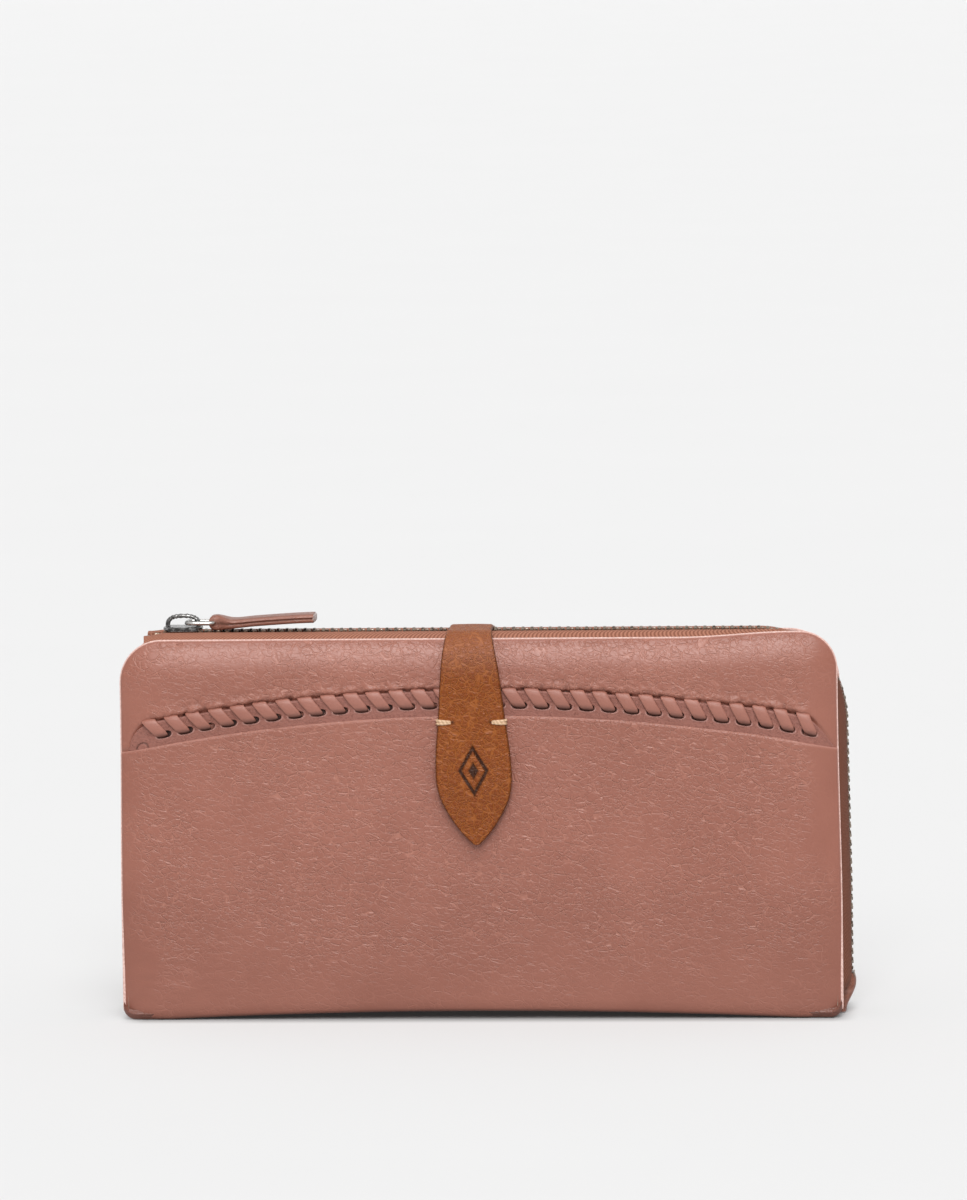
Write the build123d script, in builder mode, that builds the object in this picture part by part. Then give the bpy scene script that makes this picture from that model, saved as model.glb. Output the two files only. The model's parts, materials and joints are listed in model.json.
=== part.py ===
from build123d import *
from math import asin, cos, degrees, pi, sin
import os

# A long leather wallet that stands on its bottom fold. An L-shaped zip closes the top and the
# right side, an accordion gusset closes the left side, and a strap with a hidden magnet snaps
# over the zip onto the front cover. Millimetres, +Z up, -Y is the front, +X is the right side
# of the front, and the origin is on the surface it stands on, below the middle of the wallet.

# ---------------------------------------------------------------- covers
cover_width = 190.0
cover_height = 100.0
zip_reach = 3.0                   # how far the zip stands out past the right edge
cover_right = cover_width / 2 - zip_reach / 2
cover_left = cover_right - cover_width
cover_middle = (cover_left + cover_right) / 2
radius_top_left = 11.0
radius_top_right = 12.0
radius_bottom = 2.8
arch_rise = 2.0                   # the bottom edge arches up between its two flat ends
arch_flat = 12.0

half_inside = 9.5                 # from the middle plane to the lining of either cover
lining_thick = 0.6
board_thick = 1.3
skin_thick = 1.1
proud_skin = 1.3                  # the padded lower panel stands a little further out
strip_thick = 0.6
layer_inset = 1.2                 # board and lining stop this far inside the skin's edge
lining_face = half_inside + lining_thick
board_face = lining_face + board_thick
skin_face = board_face + skin_thick
lower_face = board_face + proud_skin
strip_face = board_face + strip_thick
edge_round = 0.9
cover_axis_y = -(half_inside + skin_face) / 2
cover_axis_z = (skin_face - half_inside) / 2

# ---------------------------------------------------------------- laced seam on the front
seam_radius = 480.0               # edge of the lower panel
seam_crown = 80.3                 # height of that edge in the middle
strip_overlap = 4.0
strip_height = 6.5
lace_count = 30
lace_first = 8.8                  # first lace, from the left edge
lace_pitch = 5.93
lace_width = 3.0
lace_length = 7.0
lace_thick = 0.6
lace_slant = 42.0
lace_above_seam = 4.4

# ---------------------------------------------------------------- main zip
zip_top = cover_height + 0.4      # centre line of the chain above the top edge
zip_side = cover_right + 1.8      # and outside the right edge
zip_corner = 20.0
tape_start = cover_left + 6.0
chain_start = cover_left + 11.5
chain_end = 11.0
tape_thick = 0.6
tape_hem = 8.0
tooth_pitch = 2.4
tooth_length = 1.2
tooth_height = 2.4
tooth_inner = 0.5                 # the two rows stay this far from the middle plane
tooth_outer = 2.3
stop_length = 1.8                 # clamps at the loose ends of the two tapes
stop_height = 2.2
stop_grip = 0.7                   # how far a clamp reaches in from its tape's edge
stop_reach = 1.2                  # and out over the tape
bottom_stop = 2.4
bottom_stop_high = 1.3
end_tab_half = 3.2
end_tab_low = 0.4

slider_x = cover_left + 16.5
slider_length = 10.4
slider_half_width = 4.2
slider_plate = 0.8
slider_clear = 0.4
slider_post = 0.5
bridge_length = 8.4
bridge_width = 2.2
bridge_height = 3.2
bridge_wall = 1.0

ring_wire = 0.55
ring_x = slider_x + 1.0
ring_z = zip_top + tooth_height / 2 + slider_clear + slider_plate + 1.2
ring_length = 7.5
ring_width = 5.8
ring_corner = 0.9
tab_length = 28.0
tab_width = 8.0
tab_thick = 2.2
tab_neck_width = 4.2
tab_neck_length = 3.6
tab_bore = 0.62

# ---------------------------------------------------------------- strap
strap_x = -3.0
strap_leather = 1.1
strap_lining_thick = 0.6
strap_top = zip_top + tooth_height / 2 + 0.3
strap_inner = lower_face + 0.6
strap_outer = strap_inner + strap_lining_thick + strap_leather
strap_back_face = skin_face + 1.5
strap_bend = 1.8
strap_neck = 5.6
strap_magnet_z = 61.0
magnet_radius = 6.0               # steel plate in the board
magnet_floor = 0.3
flap_magnet_radius = 5.0
flap_magnet_deep = 0.7
magnet_clear = 0.05
strap_tip = 46.9
strap_back_wide = 8.0             # sewn end of the strap on the back cover
strap_back_end = 5.0
strap_back_low = 58.0
strap_back_corner = 62.0
strap_back_shoulder = 84.0
back_stitch_x = 6.4
back_stitch_long = 2.2
back_stitch_wide = 0.6
back_stitch_high = 0.3
back_stitch_step = 3.2
back_stitch_first = 64.0
back_stitch_low = 60.4
back_stitch_top = 86.0
stitch_z = 79.3
stitch_edge = 8.95                # just outside the flap at that height
stitch_reach = 3.9
stitch_thick = 0.35
stitch_high = 0.9

# ---------------------------------------------------------------- inside
card_rows = 4
card_thick = 0.45
card_step_y = 0.5
card_step_z = 10.0
card_top = 84.0
inside_floor = 4.0
inside_left = cover_left + 4.5
inside_right = zip_side - tape_hem - 0.8
gusset_left = cover_left + 2.5
gusset_inner = cover_left + 17.5
gusset_half = 7.3
gusset_thick = 0.7
gusset_top = 90.0

coin_left = cover_left + 22.5
coin_right = inside_right - 2.5
coin_floor = 4.6                  # clear of the bottom fold while the pocket tilts
coin_half = 2.2
coin_wall = 0.5
coin_top = 76.0
coin_tape_thick = 0.5
coin_tooth_high = 1.8
coin_tooth_inner = 0.35
coin_tooth_outer = 1.6
coin_slider_x = coin_left + 9.0
coin_slider_length = 8.0
coin_slider_half = 2.6
coin_slider_clear = 0.3
coin_ear_inner = 1.1
coin_ear_outer = 1.7
coin_plate = 0.6
coin_pin = 0.4
coin_pin_rise = 1.3
coin_bore = 0.46
coin_pull_length = 16.0
coin_pull_width = 4.4
coin_pull_thick = 1.5
coin_neck_width = 1.9
coin_neck_length = 4.0


def export(piece, name):
    """Name one finished piece and write it."""
    piece.part.label = name
    export_step(piece.part, f"parts/{name}.step")


def at_y(y):
    """Upright plane across the wallet; pieces drawn on it grow towards the front."""
    return Plane.XZ.offset(-y)


def block(x_range, y_range, z_range, mode=Mode.ADD):
    """A box between two corners, added to the piece being built."""
    middle = [(low + high) / 2 for low, high in (x_range, y_range, z_range)]
    size = [high - low for low, high in (x_range, y_range, z_range)]
    with Locations(tuple(middle)):
        Box(*size, mode=mode)


def arch_face(lift, thickness):
    """Strip that follows the bottom edge: two flat ends and a shallow arch between them."""
    left = cover_left + arch_flat
    right = cover_right - arch_flat
    with BuildSketch() as strip:
        with BuildLine():
            Line((cover_left, lift), (left, lift))
            ThreePointArc((left, lift), (cover_middle, lift + arch_rise), (right, lift))
            Line((right, lift), (cover_right, lift))
            Line((cover_right, lift), (cover_right, lift + thickness))
            Line((cover_right, lift + thickness), (right, lift + thickness))
            ThreePointArc(
                (right, lift + thickness),
                (cover_middle, lift + thickness + arch_rise),
                (left, lift + thickness),
            )
            Line((left, lift + thickness), (cover_left, lift + thickness))
            Line((cover_left, lift + thickness), (cover_left, lift))
        make_face()
    return strip.sketch


def cover_face(inset):
    """Outline of a cover, set in from its edge."""
    left = cover_left + inset
    right = cover_right - inset
    top = cover_height - inset
    with BuildSketch() as face:
        with BuildLine():
            FilletPolyline(
                (left, inset),
                (right, inset),
                (right, top),
                (left, top),
                radius=[
                    radius_bottom - inset / 2,
                    radius_bottom - inset / 2,
                    radius_top_right - inset,
                    radius_top_left - inset,
                ],
                close=True,
            )
        make_face()
        arch_left = cover_left + arch_flat
        arch_right = cover_right - arch_flat
        with BuildLine():
            Line((arch_left, inset), (arch_right, inset))
            ThreePointArc(
                (arch_right, inset), (cover_middle, inset + arch_rise), (arch_left, inset)
            )
        make_face(mode=Mode.SUBTRACT)
    return face.sketch


def seam_circle(offset, mode):
    """Large circle concentric with the seam, in the sketch being drawn."""
    with Locations((cover_middle, seam_crown - seam_radius)):
        Circle(seam_radius + offset, mode=mode)


def zip_band(outer, inner, start):
    """L-shaped strip between two distances from the chain's centre line."""
    corner_x = zip_side - zip_corner
    corner_z = zip_top - zip_corner
    with BuildSketch() as band:
        with BuildLine():
            Line((start, zip_top + outer), (corner_x, zip_top + outer))
            CenterArc((corner_x, corner_z), zip_corner + outer, 90, -90)
            Line((zip_side + outer, corner_z), (zip_side + outer, chain_end))
            Line((zip_side + outer, chain_end), (zip_side + inner, chain_end))
            Line((zip_side + inner, chain_end), (zip_side + inner, corner_z))
            CenterArc((corner_x, corner_z), zip_corner + inner, 0, 90)
            Line((corner_x, zip_top + inner), (start, zip_top + inner))
            Line((start, zip_top + inner), (start, zip_top + outer))
        make_face()
    return band.sketch


def chain_places(y, phase):
    """Where the teeth of one row sit: along the top, round the corner and down the side."""
    top_run = zip_side - zip_corner - chain_start
    corner_run = zip_corner * pi / 2
    side_run = zip_top - zip_corner - chain_end
    places = []
    travel = phase
    while travel < top_run + corner_run + side_run - tooth_length / 2:
        if travel < top_run:
            places.append(Location((chain_start + travel, y, zip_top), (0, 0, 0)))
        elif travel < top_run + corner_run:
            turn = (travel - top_run) / zip_corner
            x = zip_side - zip_corner + zip_corner * sin(turn)
            z = zip_top - zip_corner + zip_corner * cos(turn)
            places.append(Location((x, y, z), (0, degrees(turn), 0)))
        else:
            z = zip_top - zip_corner - (travel - top_run - corner_run)
            places.append(Location((zip_side, y, z), (0, 90, 0)))
        travel += tooth_pitch
    return places


def strap_outline(inset):
    """Right half of the flap seen from the front: a narrow neck that widens to a point."""
    half = [
        (strap_neck, strap_top + strap_leather),
        (6.5, 99.5),
        (7.4, 94.5),
        (8.1, 87.6),
        (8.8, 79.5),
        (9.8, 71.5),
        (10.1, 64.2),
        (9.3, 59.4),
        (7.4, 55.4),
        (4.8, 51.3),
        (1.0, strap_tip),
    ]
    right = [(strap_x + x - inset, z) for x, z in half]
    left = [(strap_x - x + inset, z) for x, z in reversed(half)]
    return right + left


os.makedirs("parts", exist_ok=True)

# ================================================================ front cover
with BuildPart() as front_lining:
    with BuildSketch(at_y(-half_inside)):
        add(cover_face(layer_inset))
    extrude(amount=lining_thick)
export(front_lining, "front_lining")

with BuildPart() as front_board:
    with BuildSketch(at_y(-lining_face)):
        add(cover_face(layer_inset))
    extrude(amount=board_thick)
    with BuildSketch(at_y(-lining_face - magnet_floor)):
        with Locations((strap_x, strap_magnet_z)):
            Circle(magnet_radius + magnet_clear)
    extrude(amount=board_thick, mode=Mode.SUBTRACT)
export(front_board, "front_board")

with BuildPart() as front_magnet:
    with BuildSketch(at_y(-lining_face - magnet_floor)):
        with Locations((strap_x, strap_magnet_z)):
            Circle(magnet_radius)
    extrude(amount=board_thick - magnet_floor)
export(front_magnet, "front_magnet")

with BuildPart() as front_lower_panel:
    with BuildSketch(at_y(-board_face)):
        add(cover_face(0))
        seam_circle(0, Mode.INTERSECT)
    extrude(amount=proud_skin)
    outer = front_lower_panel.faces().sort_by(Axis.Y)[0]
    fillet(outer.edges().sort_by(Axis.Z)[:-1], edge_round)
    with BuildSketch(at_y(-board_face)):
        add(cover_face(0))
        seam_circle(-strip_overlap, Mode.SUBTRACT)
    extrude(amount=strip_thick, mode=Mode.SUBTRACT)
export(front_lower_panel, "front_lower_panel")

with BuildPart() as lace_strip:
    with BuildSketch(at_y(-board_face)):
        add(cover_face(layer_inset))
        seam_circle(strip_height, Mode.INTERSECT)
        seam_circle(-strip_overlap, Mode.SUBTRACT)
    extrude(amount=strip_thick)
export(lace_strip, "lace_strip")

with BuildPart() as front_upper_panel:
    with BuildSketch(at_y(-board_face)):
        add(cover_face(0))
        seam_circle(strip_height, Mode.SUBTRACT)
    extrude(amount=skin_thick)
    outer = front_upper_panel.faces().sort_by(Axis.Y)[0]
    fillet(outer.edges(), edge_round / 2)
export(front_upper_panel, "front_upper_panel")

with BuildPart() as whip_lacing:
    lace_radius = seam_radius + lace_above_seam
    lace_places = []
    for number in range(lace_count):
        x = cover_left + lace_first + number * lace_pitch
        lean = asin((x - cover_middle) / lace_radius)
        z = seam_crown - seam_radius + lace_radius * cos(lean)
        spot = Location((x, -skin_face - lace_thick / 2, z), (0, degrees(lean) + lace_slant, 0))
        lace_places.append(spot)
    with Locations(*lace_places):
        Box(lace_length, lace_thick, lace_width)
export(whip_lacing, "whip_lacing")

for row in range(card_rows):
    near = -half_inside + row * card_step_y
    with BuildPart() as card_slot:
        block(
            (inside_left, inside_right),
            (near, near + card_thick),
            (inside_floor, card_top - row * card_step_z),
        )
    export(card_slot, f"card_slot_front_{row + 1}")

# ================================================================ back cover and bottom
with BuildPart() as back_lining:
    with BuildSketch(at_y(lining_face)):
        add(cover_face(layer_inset))
    extrude(amount=lining_thick)
export(back_lining, "back_lining")

with BuildPart() as back_board:
    with BuildSketch(at_y(board_face)):
        add(cover_face(layer_inset))
    extrude(amount=board_thick)
export(back_board, "back_board")

with BuildPart() as back_panel:
    with BuildSketch(at_y(skin_face)):
        add(cover_face(0))
    extrude(amount=skin_thick)
    outer = back_panel.faces().sort_by(Axis.Y)[-1]
    fillet(outer.edges(), edge_round)
export(back_panel, "back_panel")

with BuildPart() as bottom_fold:
    with BuildSketch(at_y(board_face)):
        add(arch_face(0, skin_thick))
    extrude(amount=board_face + half_inside - 0.4)
export(bottom_fold, "bottom_fold")

for row in range(card_rows):
    far = half_inside - row * card_step_y
    with BuildPart() as card_slot:
        block(
            (inside_left, inside_right),
            (far - card_thick, far),
            (inside_floor, card_top - row * card_step_z),
        )
    export(card_slot, f"card_slot_back_{row + 1}")

with BuildPart() as left_gusset:
    with BuildSketch(Plane.XY.offset(inside_floor)):
        with BuildLine():
            Polyline(
                (gusset_left, -gusset_half),
                (gusset_inner, -gusset_half / 2),
                (gusset_left, 0),
                (gusset_inner, gusset_half / 2),
                (gusset_left, gusset_half),
            )
        trace(line_width=gusset_thick)
    extrude(amount=gusset_top - inside_floor)
export(left_gusset, "left_gusset")

# ================================================================ main zip
for side, name in ((-1, "front"), (1, "back")):
    seam_y = half_inside if side > 0 else -tooth_outer
    hem_y = half_inside if side > 0 else -half_inside + tape_thick
    with BuildPart() as zip_tape:
        with BuildSketch(at_y(seam_y)):
            add(zip_band(tape_thick / 2, -tape_thick / 2, tape_start))
        extrude(amount=half_inside - tooth_outer)
        with BuildSketch(at_y(hem_y)):
            add(zip_band(tape_thick / 2, -tape_hem, tape_start))
        extrude(amount=tape_thick)
    export(zip_tape, f"zip_tape_{name}")

    row_y = side * (tooth_inner + tooth_outer) / 2
    phase = 0 if side < 0 else tooth_pitch / 2
    with BuildPart() as zip_teeth:
        with Locations(*chain_places(row_y, phase)):
            Box(tooth_length, tooth_outer - tooth_inner, tooth_height)
    export(zip_teeth, f"zip_teeth_{name}")

    with BuildPart() as zip_stop:
        stop_x = tape_start + 2.2 + side * 0.8
        block(
            (stop_x - stop_length / 2, stop_x + stop_length / 2),
            sorted((side * (tooth_outer - stop_grip), side * (tooth_outer + stop_reach))),
            (zip_top - stop_height / 2, zip_top + stop_height / 2),
        )
        block(
            (stop_x - stop_length / 2, stop_x + stop_length / 2),
            sorted((side * tooth_outer, side * half_inside)),
            (zip_top - tape_thick / 2, zip_top + tape_thick / 2),
            mode=Mode.SUBTRACT,
        )
    export(zip_stop, f"zip_stop_{name}")

with BuildPart() as zip_bottom_stop:
    block(
        (zip_side - bottom_stop / 2, zip_side + bottom_stop / 2),
        (-tooth_outer, tooth_outer),
        (chain_end - 0.3 - bottom_stop_high, chain_end - 0.3),
    )
export(zip_bottom_stop, "zip_bottom_stop")

with BuildPart() as zip_end_tab:
    block(
        (cover_right, zip_side + 1.0),
        (-end_tab_half, end_tab_half),
        (end_tab_low, chain_end - 1.7),
    )
    fillet(zip_end_tab.edges().filter_by(Axis.Y), 0.6)
export(zip_end_tab, "zip_end_tab")

# ================================================================ main slider, ring and tab
plate_low = zip_top - tooth_height / 2 - slider_clear
plate_high = zip_top + tooth_height / 2 + slider_clear
plate_top = plate_high + slider_plate
with BuildPart() as slider_body:
    for base in (plate_low - slider_plate, plate_high):
        with BuildSketch(Plane.XY.offset(base)):
            with Locations((slider_x, 0)):
                RectangleRounded(slider_length, 2 * slider_half_width, 2.2)
        extrude(amount=slider_plate)
    post_left = slider_x - slider_length / 2 + 0.6
    block(
        (post_left, post_left + 2.6),
        (-slider_post / 2, slider_post / 2),
        (plate_low, plate_high),
    )
export(slider_body, "slider_body")

with BuildPart() as slider_bridge:
    with BuildSketch(at_y(bridge_width / 2)):
        with BuildLine():
            FilletPolyline(
                (slider_x - bridge_length / 2, plate_top),
                (slider_x - bridge_length / 2 + 0.8, plate_top + bridge_height),
                (slider_x + bridge_length / 2 - 0.8, plate_top + bridge_height),
                (slider_x + bridge_length / 2, plate_top),
                radius=1.6,
            )
            Line(
                (slider_x + bridge_length / 2, plate_top),
                (slider_x - bridge_length / 2, plate_top),
            )
        make_face()
        with Locations((slider_x, plate_top + (bridge_height - bridge_wall) / 2)):
            Rectangle(bridge_length - 3.2, bridge_height - bridge_wall, mode=Mode.SUBTRACT)
    extrude(amount=bridge_width)
export(slider_bridge, "slider_bridge")

with BuildSketch(Plane.XY.offset(ring_z)) as ring_frame:
    with Locations((ring_x + ring_length / 2, 0)):
        RectangleRounded(ring_length, ring_width, ring_corner)
ring_route = ring_frame.sketch.face().outer_wire()
with BuildPart() as pull_ring:
    with BuildSketch(Plane(origin=ring_route @ 0, z_dir=ring_route % 0)):
        Circle(ring_wire)
    sweep(path=ring_route)
export(pull_ring, "pull_ring")

tab_pivot = ring_x + ring_length
tab_start = tab_pivot - 1.7
with BuildPart() as pull_tab:
    with BuildSketch(Plane.XY.offset(ring_z - tab_thick / 2)):
        with Locations((tab_start + tab_neck_length / 2, 0)):
            Rectangle(tab_neck_length, tab_neck_width)
        with Locations((tab_start + (tab_neck_length + tab_length) / 2, 0)):
            RectangleRounded(tab_length - tab_neck_length, tab_width, 1.2)
    extrude(amount=tab_thick)
    with BuildSketch(at_y(tab_width)):
        with Locations((tab_pivot, ring_z)):
            Circle(tab_bore)
    extrude(amount=2 * tab_width, mode=Mode.SUBTRACT)
export(pull_tab, "pull_tab")

# ================================================================ strap
with BuildPart() as strap_flap:
    strap_under = strap_inner + strap_lining_thick
    widest = 10.1
    strap_end = skin_face
    with BuildSketch(Plane.YZ.offset(strap_x - 1.2 * widest)):
        with BuildLine():
            FilletPolyline(
                (strap_end, strap_top + strap_leather),
                (-strap_outer, strap_top + strap_leather),
                (-strap_outer, strap_tip),
                radius=strap_bend,
            )
            Line((-strap_outer, strap_tip), (-strap_under, strap_tip))
            FilletPolyline(
                (-strap_under, strap_tip),
                (-strap_under, strap_top),
                (strap_end, strap_top),
                radius=strap_bend - strap_leather,
            )
            Line((strap_end, strap_top), (strap_end, strap_top + strap_leather))
        make_face()
    extrude(amount=2.4 * widest)
    with BuildSketch(at_y(strap_back_face + 1)):
        with BuildLine():
            Polyline(*strap_outline(0), close=True)
        make_face()
    extrude(amount=strap_back_face + strap_outer + 2, mode=Mode.INTERSECT)
    with BuildSketch(at_y(-strap_under)):
        with Locations((strap_x, strap_magnet_z)):
            Circle(flap_magnet_radius + magnet_clear)
    extrude(amount=flap_magnet_deep, mode=Mode.SUBTRACT)
export(strap_flap, "strap_flap")

with BuildPart() as strap_lining:
    with BuildSketch(at_y(-strap_inner)):
        with BuildLine():
            Polyline(*strap_outline(0.2), close=True)
        make_face()
        with Locations((strap_x, strap_top)):
            Rectangle(30, 10, mode=Mode.SUBTRACT)
    extrude(amount=strap_lining_thick)
export(strap_lining, "strap_lining")

with BuildPart() as strap_magnet:
    with BuildSketch(at_y(-strap_inner - strap_lining_thick)):
        with Locations((strap_x, strap_magnet_z)):
            Circle(flap_magnet_radius)
    extrude(amount=flap_magnet_deep)
export(strap_magnet, "strap_magnet")

with BuildPart() as strap_edge_stitches:
    for side in (-1, 1):
        edge = strap_x + side * stitch_edge
        inner_end = edge - side * stitch_reach
        outer_end = edge + side * stitch_thick
        block(
            (min(inner_end, outer_end), max(inner_end, outer_end)),
            (-strap_outer - stitch_thick, -strap_outer),
            (stitch_z - stitch_high / 2, stitch_z + stitch_high / 2),
        )
        block(
            (min(edge, outer_end), max(edge, outer_end)),
            (-strap_outer, -strap_outer + 1.1),
            (stitch_z - stitch_high / 2, stitch_z + stitch_high / 2),
        )
export(strap_edge_stitches, "strap_edge_stitches")

with BuildPart() as strap_back:
    with BuildSketch(at_y(strap_back_face)):
        with BuildLine():
            Polyline(
                (strap_x + strap_neck, strap_top - 0.3),
                (strap_x + strap_back_wide, strap_back_shoulder),
                (strap_x + strap_back_wide, strap_back_corner),
                (strap_x + strap_back_end, strap_back_low),
                (strap_x - strap_back_end, strap_back_low),
                (strap_x - strap_back_wide, strap_back_corner),
                (strap_x - strap_back_wide, strap_back_shoulder),
                (strap_x - strap_neck, strap_top - 0.3),
                close=True,
            )
        make_face()
    extrude(amount=strap_back_face - skin_face)
export(strap_back, "strap_back")

with BuildPart() as strap_back_stitches:
    stitch_y = strap_back_face + back_stitch_high / 2
    upright_spots = []
    for number in range(7):
        for side in (-1, 1):
            x = strap_x + side * back_stitch_x
            upright_spots.append((x, stitch_y, back_stitch_first + number * back_stitch_step))
    with Locations(*upright_spots):
        Box(back_stitch_wide, back_stitch_high, back_stitch_long)
    level_spots = []
    for z in (back_stitch_low, back_stitch_top):
        for step in (-1, 0, 1):
            level_spots.append((strap_x + step * back_stitch_step, stitch_y, z))
    with Locations(*level_spots):
        Box(back_stitch_long, back_stitch_high, back_stitch_wide)
export(strap_back_stitches, "strap_back_stitches")

# ================================================================ coin pocket
for side, name in ((-1, "front"), (1, "back")):
    with BuildPart() as coin_pocket_wall:
        faces_y = sorted((side * coin_half, side * (coin_half + coin_wall)))
        block((coin_left, coin_right), faces_y, (coin_floor, coin_top))
    export(coin_pocket_wall, f"coin_pocket_{name}")

with BuildPart() as coin_pocket_edge:
    block((coin_left, coin_right), (-coin_half, coin_half), (coin_floor, coin_floor + 0.5))
    block((coin_left, coin_left + 0.5), (-coin_half, coin_half), (coin_floor, coin_top))
    block((coin_right - 0.5, coin_right), (-coin_half, coin_half), (coin_floor, coin_top))
export(coin_pocket_edge, "coin_pocket_edge")

with BuildPart() as coin_zip_tape:
    for side in (-1, 1):
        faces_y = sorted((side * (coin_tooth_outer + 0.05), side * (coin_half + coin_wall)))
        block((coin_left, coin_right), faces_y, (coin_top, coin_top + coin_tape_thick))
export(coin_zip_tape, "coin_zip_tape")

coin_chain_z = coin_top + coin_tape_thick / 2
with BuildPart() as coin_zip_teeth:
    coin_teeth = []
    tooth_x = coin_slider_x - 3.0
    while tooth_x < coin_right - 3.0:
        for side in (-1, 1):
            y = side * (coin_tooth_inner + coin_tooth_outer) / 2
            coin_teeth.append((tooth_x + side * 0.6, y, coin_chain_z))
        tooth_x += tooth_pitch
    with Locations(*coin_teeth):
        Box(1.0, coin_tooth_outer - coin_tooth_inner, coin_tooth_high)
export(coin_zip_teeth, "coin_zip_teeth")

coin_plate_z = coin_chain_z + coin_tooth_high / 2 + coin_slider_clear
coin_pin_z = coin_plate_z + coin_plate + coin_pin_rise
coin_pin_x = coin_slider_x + 1.5
with BuildPart() as coin_slider:
    block(
        (coin_slider_x - coin_slider_length / 2, coin_slider_x + coin_slider_length / 2),
        (-coin_slider_half, coin_slider_half),
        (coin_plate_z, coin_plate_z + coin_plate),
    )
    under = coin_chain_z - coin_tooth_high / 2 - coin_slider_clear
    block(
        (coin_slider_x - coin_slider_length / 2, coin_slider_x + coin_slider_length / 2),
        (-coin_half + 0.3, coin_half - 0.3),
        (under - coin_plate, under),
    )
    block(
        (coin_slider_x - coin_slider_length / 2 + 0.3, coin_slider_x - 2.0),
        (-0.17, 0.17),
        (under, coin_plate_z),
    )
    for side in (-1, 1):
        faces_y = sorted((side * coin_ear_inner, side * coin_ear_outer))
        block(
            (coin_pin_x - 0.9, coin_pin_x + 0.9),
            faces_y,
            (coin_plate_z + coin_plate, coin_pin_z + 0.8),
        )
    pin_end = (coin_ear_inner + coin_ear_outer) / 2
    with BuildSketch(at_y(pin_end)):
        with Locations((coin_pin_x, coin_pin_z)):
            Circle(coin_pin)
    extrude(amount=2 * pin_end)
export(coin_slider, "coin_slider")

with BuildPart() as coin_pull:
    with BuildSketch(Plane.XY.offset(coin_pin_z - coin_pull_thick / 2)):
        with Locations((coin_pin_x + 1.1, 0)):
            Rectangle(coin_neck_length, coin_neck_width)
        with Locations((coin_pin_x + 2.6 + (coin_pull_length - 2.6) / 2, 0)):
            RectangleRounded(coin_pull_length - 2.6, coin_pull_width, 1.4)
    extrude(amount=coin_pull_thick)
    with BuildSketch(at_y(coin_pull_width)):
        with Locations((coin_pin_x, coin_pin_z)):
            Circle(coin_bore)
    extrude(amount=2 * coin_pull_width, mode=Mode.SUBTRACT)
export(coin_pull, "coin_pull")
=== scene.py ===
import bmesh
import bpy
import json
import math
import numpy as np
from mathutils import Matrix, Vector, noise


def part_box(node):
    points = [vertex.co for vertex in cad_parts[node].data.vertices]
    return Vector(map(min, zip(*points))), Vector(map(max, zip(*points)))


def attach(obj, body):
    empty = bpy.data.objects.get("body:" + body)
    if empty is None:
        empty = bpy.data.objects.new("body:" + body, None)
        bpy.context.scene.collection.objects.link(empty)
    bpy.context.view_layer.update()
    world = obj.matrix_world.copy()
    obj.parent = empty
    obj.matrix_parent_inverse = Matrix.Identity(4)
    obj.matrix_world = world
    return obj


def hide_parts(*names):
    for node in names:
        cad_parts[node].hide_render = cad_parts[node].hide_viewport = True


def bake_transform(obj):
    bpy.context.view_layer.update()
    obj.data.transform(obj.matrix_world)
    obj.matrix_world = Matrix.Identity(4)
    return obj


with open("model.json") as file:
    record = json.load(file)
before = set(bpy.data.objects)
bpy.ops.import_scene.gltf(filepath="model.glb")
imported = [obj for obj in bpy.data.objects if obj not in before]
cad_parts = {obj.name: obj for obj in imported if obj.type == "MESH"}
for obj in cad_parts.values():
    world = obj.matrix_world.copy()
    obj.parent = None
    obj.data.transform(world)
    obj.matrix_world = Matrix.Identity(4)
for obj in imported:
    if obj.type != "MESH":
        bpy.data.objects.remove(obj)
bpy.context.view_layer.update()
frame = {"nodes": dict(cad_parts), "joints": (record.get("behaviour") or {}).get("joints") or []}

# Lengths below are millimetres in the part's own frame: X right, -Y the front, Z up. Meshes are
# scaled to metres when they are made.
MM = 0.001
TURN = 2 * math.pi


def box_mm(node):
    low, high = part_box(node)
    return np.array(low) / MM, np.array(high) / MM


# ------------------------------------------------------------------ places taken from the frame
back_low, back_high = box_mm("back_panel")
strap_low, strap_high = box_mm("strap_flap")
strap_back_low = box_mm("strap_back")[0]
teeth_low, teeth_high = box_mm("zip_teeth_front")
slider_low, slider_high = box_mm("slider_body")
bridge_low, bridge_high = box_mm("slider_bridge")
ring_low, ring_high = box_mm("pull_ring")
tab_low, tab_high = box_mm("pull_tab")
end_low, end_high = box_mm("zip_end_tab")
gusset_low, gusset_high = box_mm("left_gusset")
joints = {joint["name"]: joint for joint in frame["joints"]}

LEFT, RIGHT, TOP = back_low[0], back_high[0], back_high[2]
MIDDLE = (LEFT + RIGHT) / 2
INSIDE = box_mm("back_lining")[0][1]    # lining face, from the middle plane
SKIN = back_high[1]                     # outer face of the back cover
RADIUS_LEFT, RADIUS_RIGHT, RADIUS_BOTTOM = 11.0, 9.6, 3.2
FRONT_RADII = (RADIUS_LEFT, RADIUS_RIGHT)
BACK_RADII = (12.4, 13.5)               # the back cover's upper corners are a little rounder
ARCH_RISE, ARCH_FLAT = 2.0, 12.0        # the bottom edge rises between two flat feet
SEAM_RADIUS, SEAM_CROWN = 480.0, box_mm("front_lower_panel")[1][2]
STRIP_HEIGHT = 6.5
ZIP_RAISE = 0.5                         # the zip's line, above its CAD place
SLIDER_RAISE = 0.45                     # slider, ring and tab go up again, with the settled tapes
ZIP_TOP = (slider_low[2] + slider_high[2]) / 2 + ZIP_RAISE
ZIP_SIDE = teeth_high[0] - 1.2
ZIP_CORNER = 23.5
CHAIN_START, CHAIN_END = teeth_low[0] + 0.6, 11.0
TAPE_START = box_mm("zip_tape_back")[0][0]
TOOTH_PITCH = 2.4                       # along one side of the zip
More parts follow.
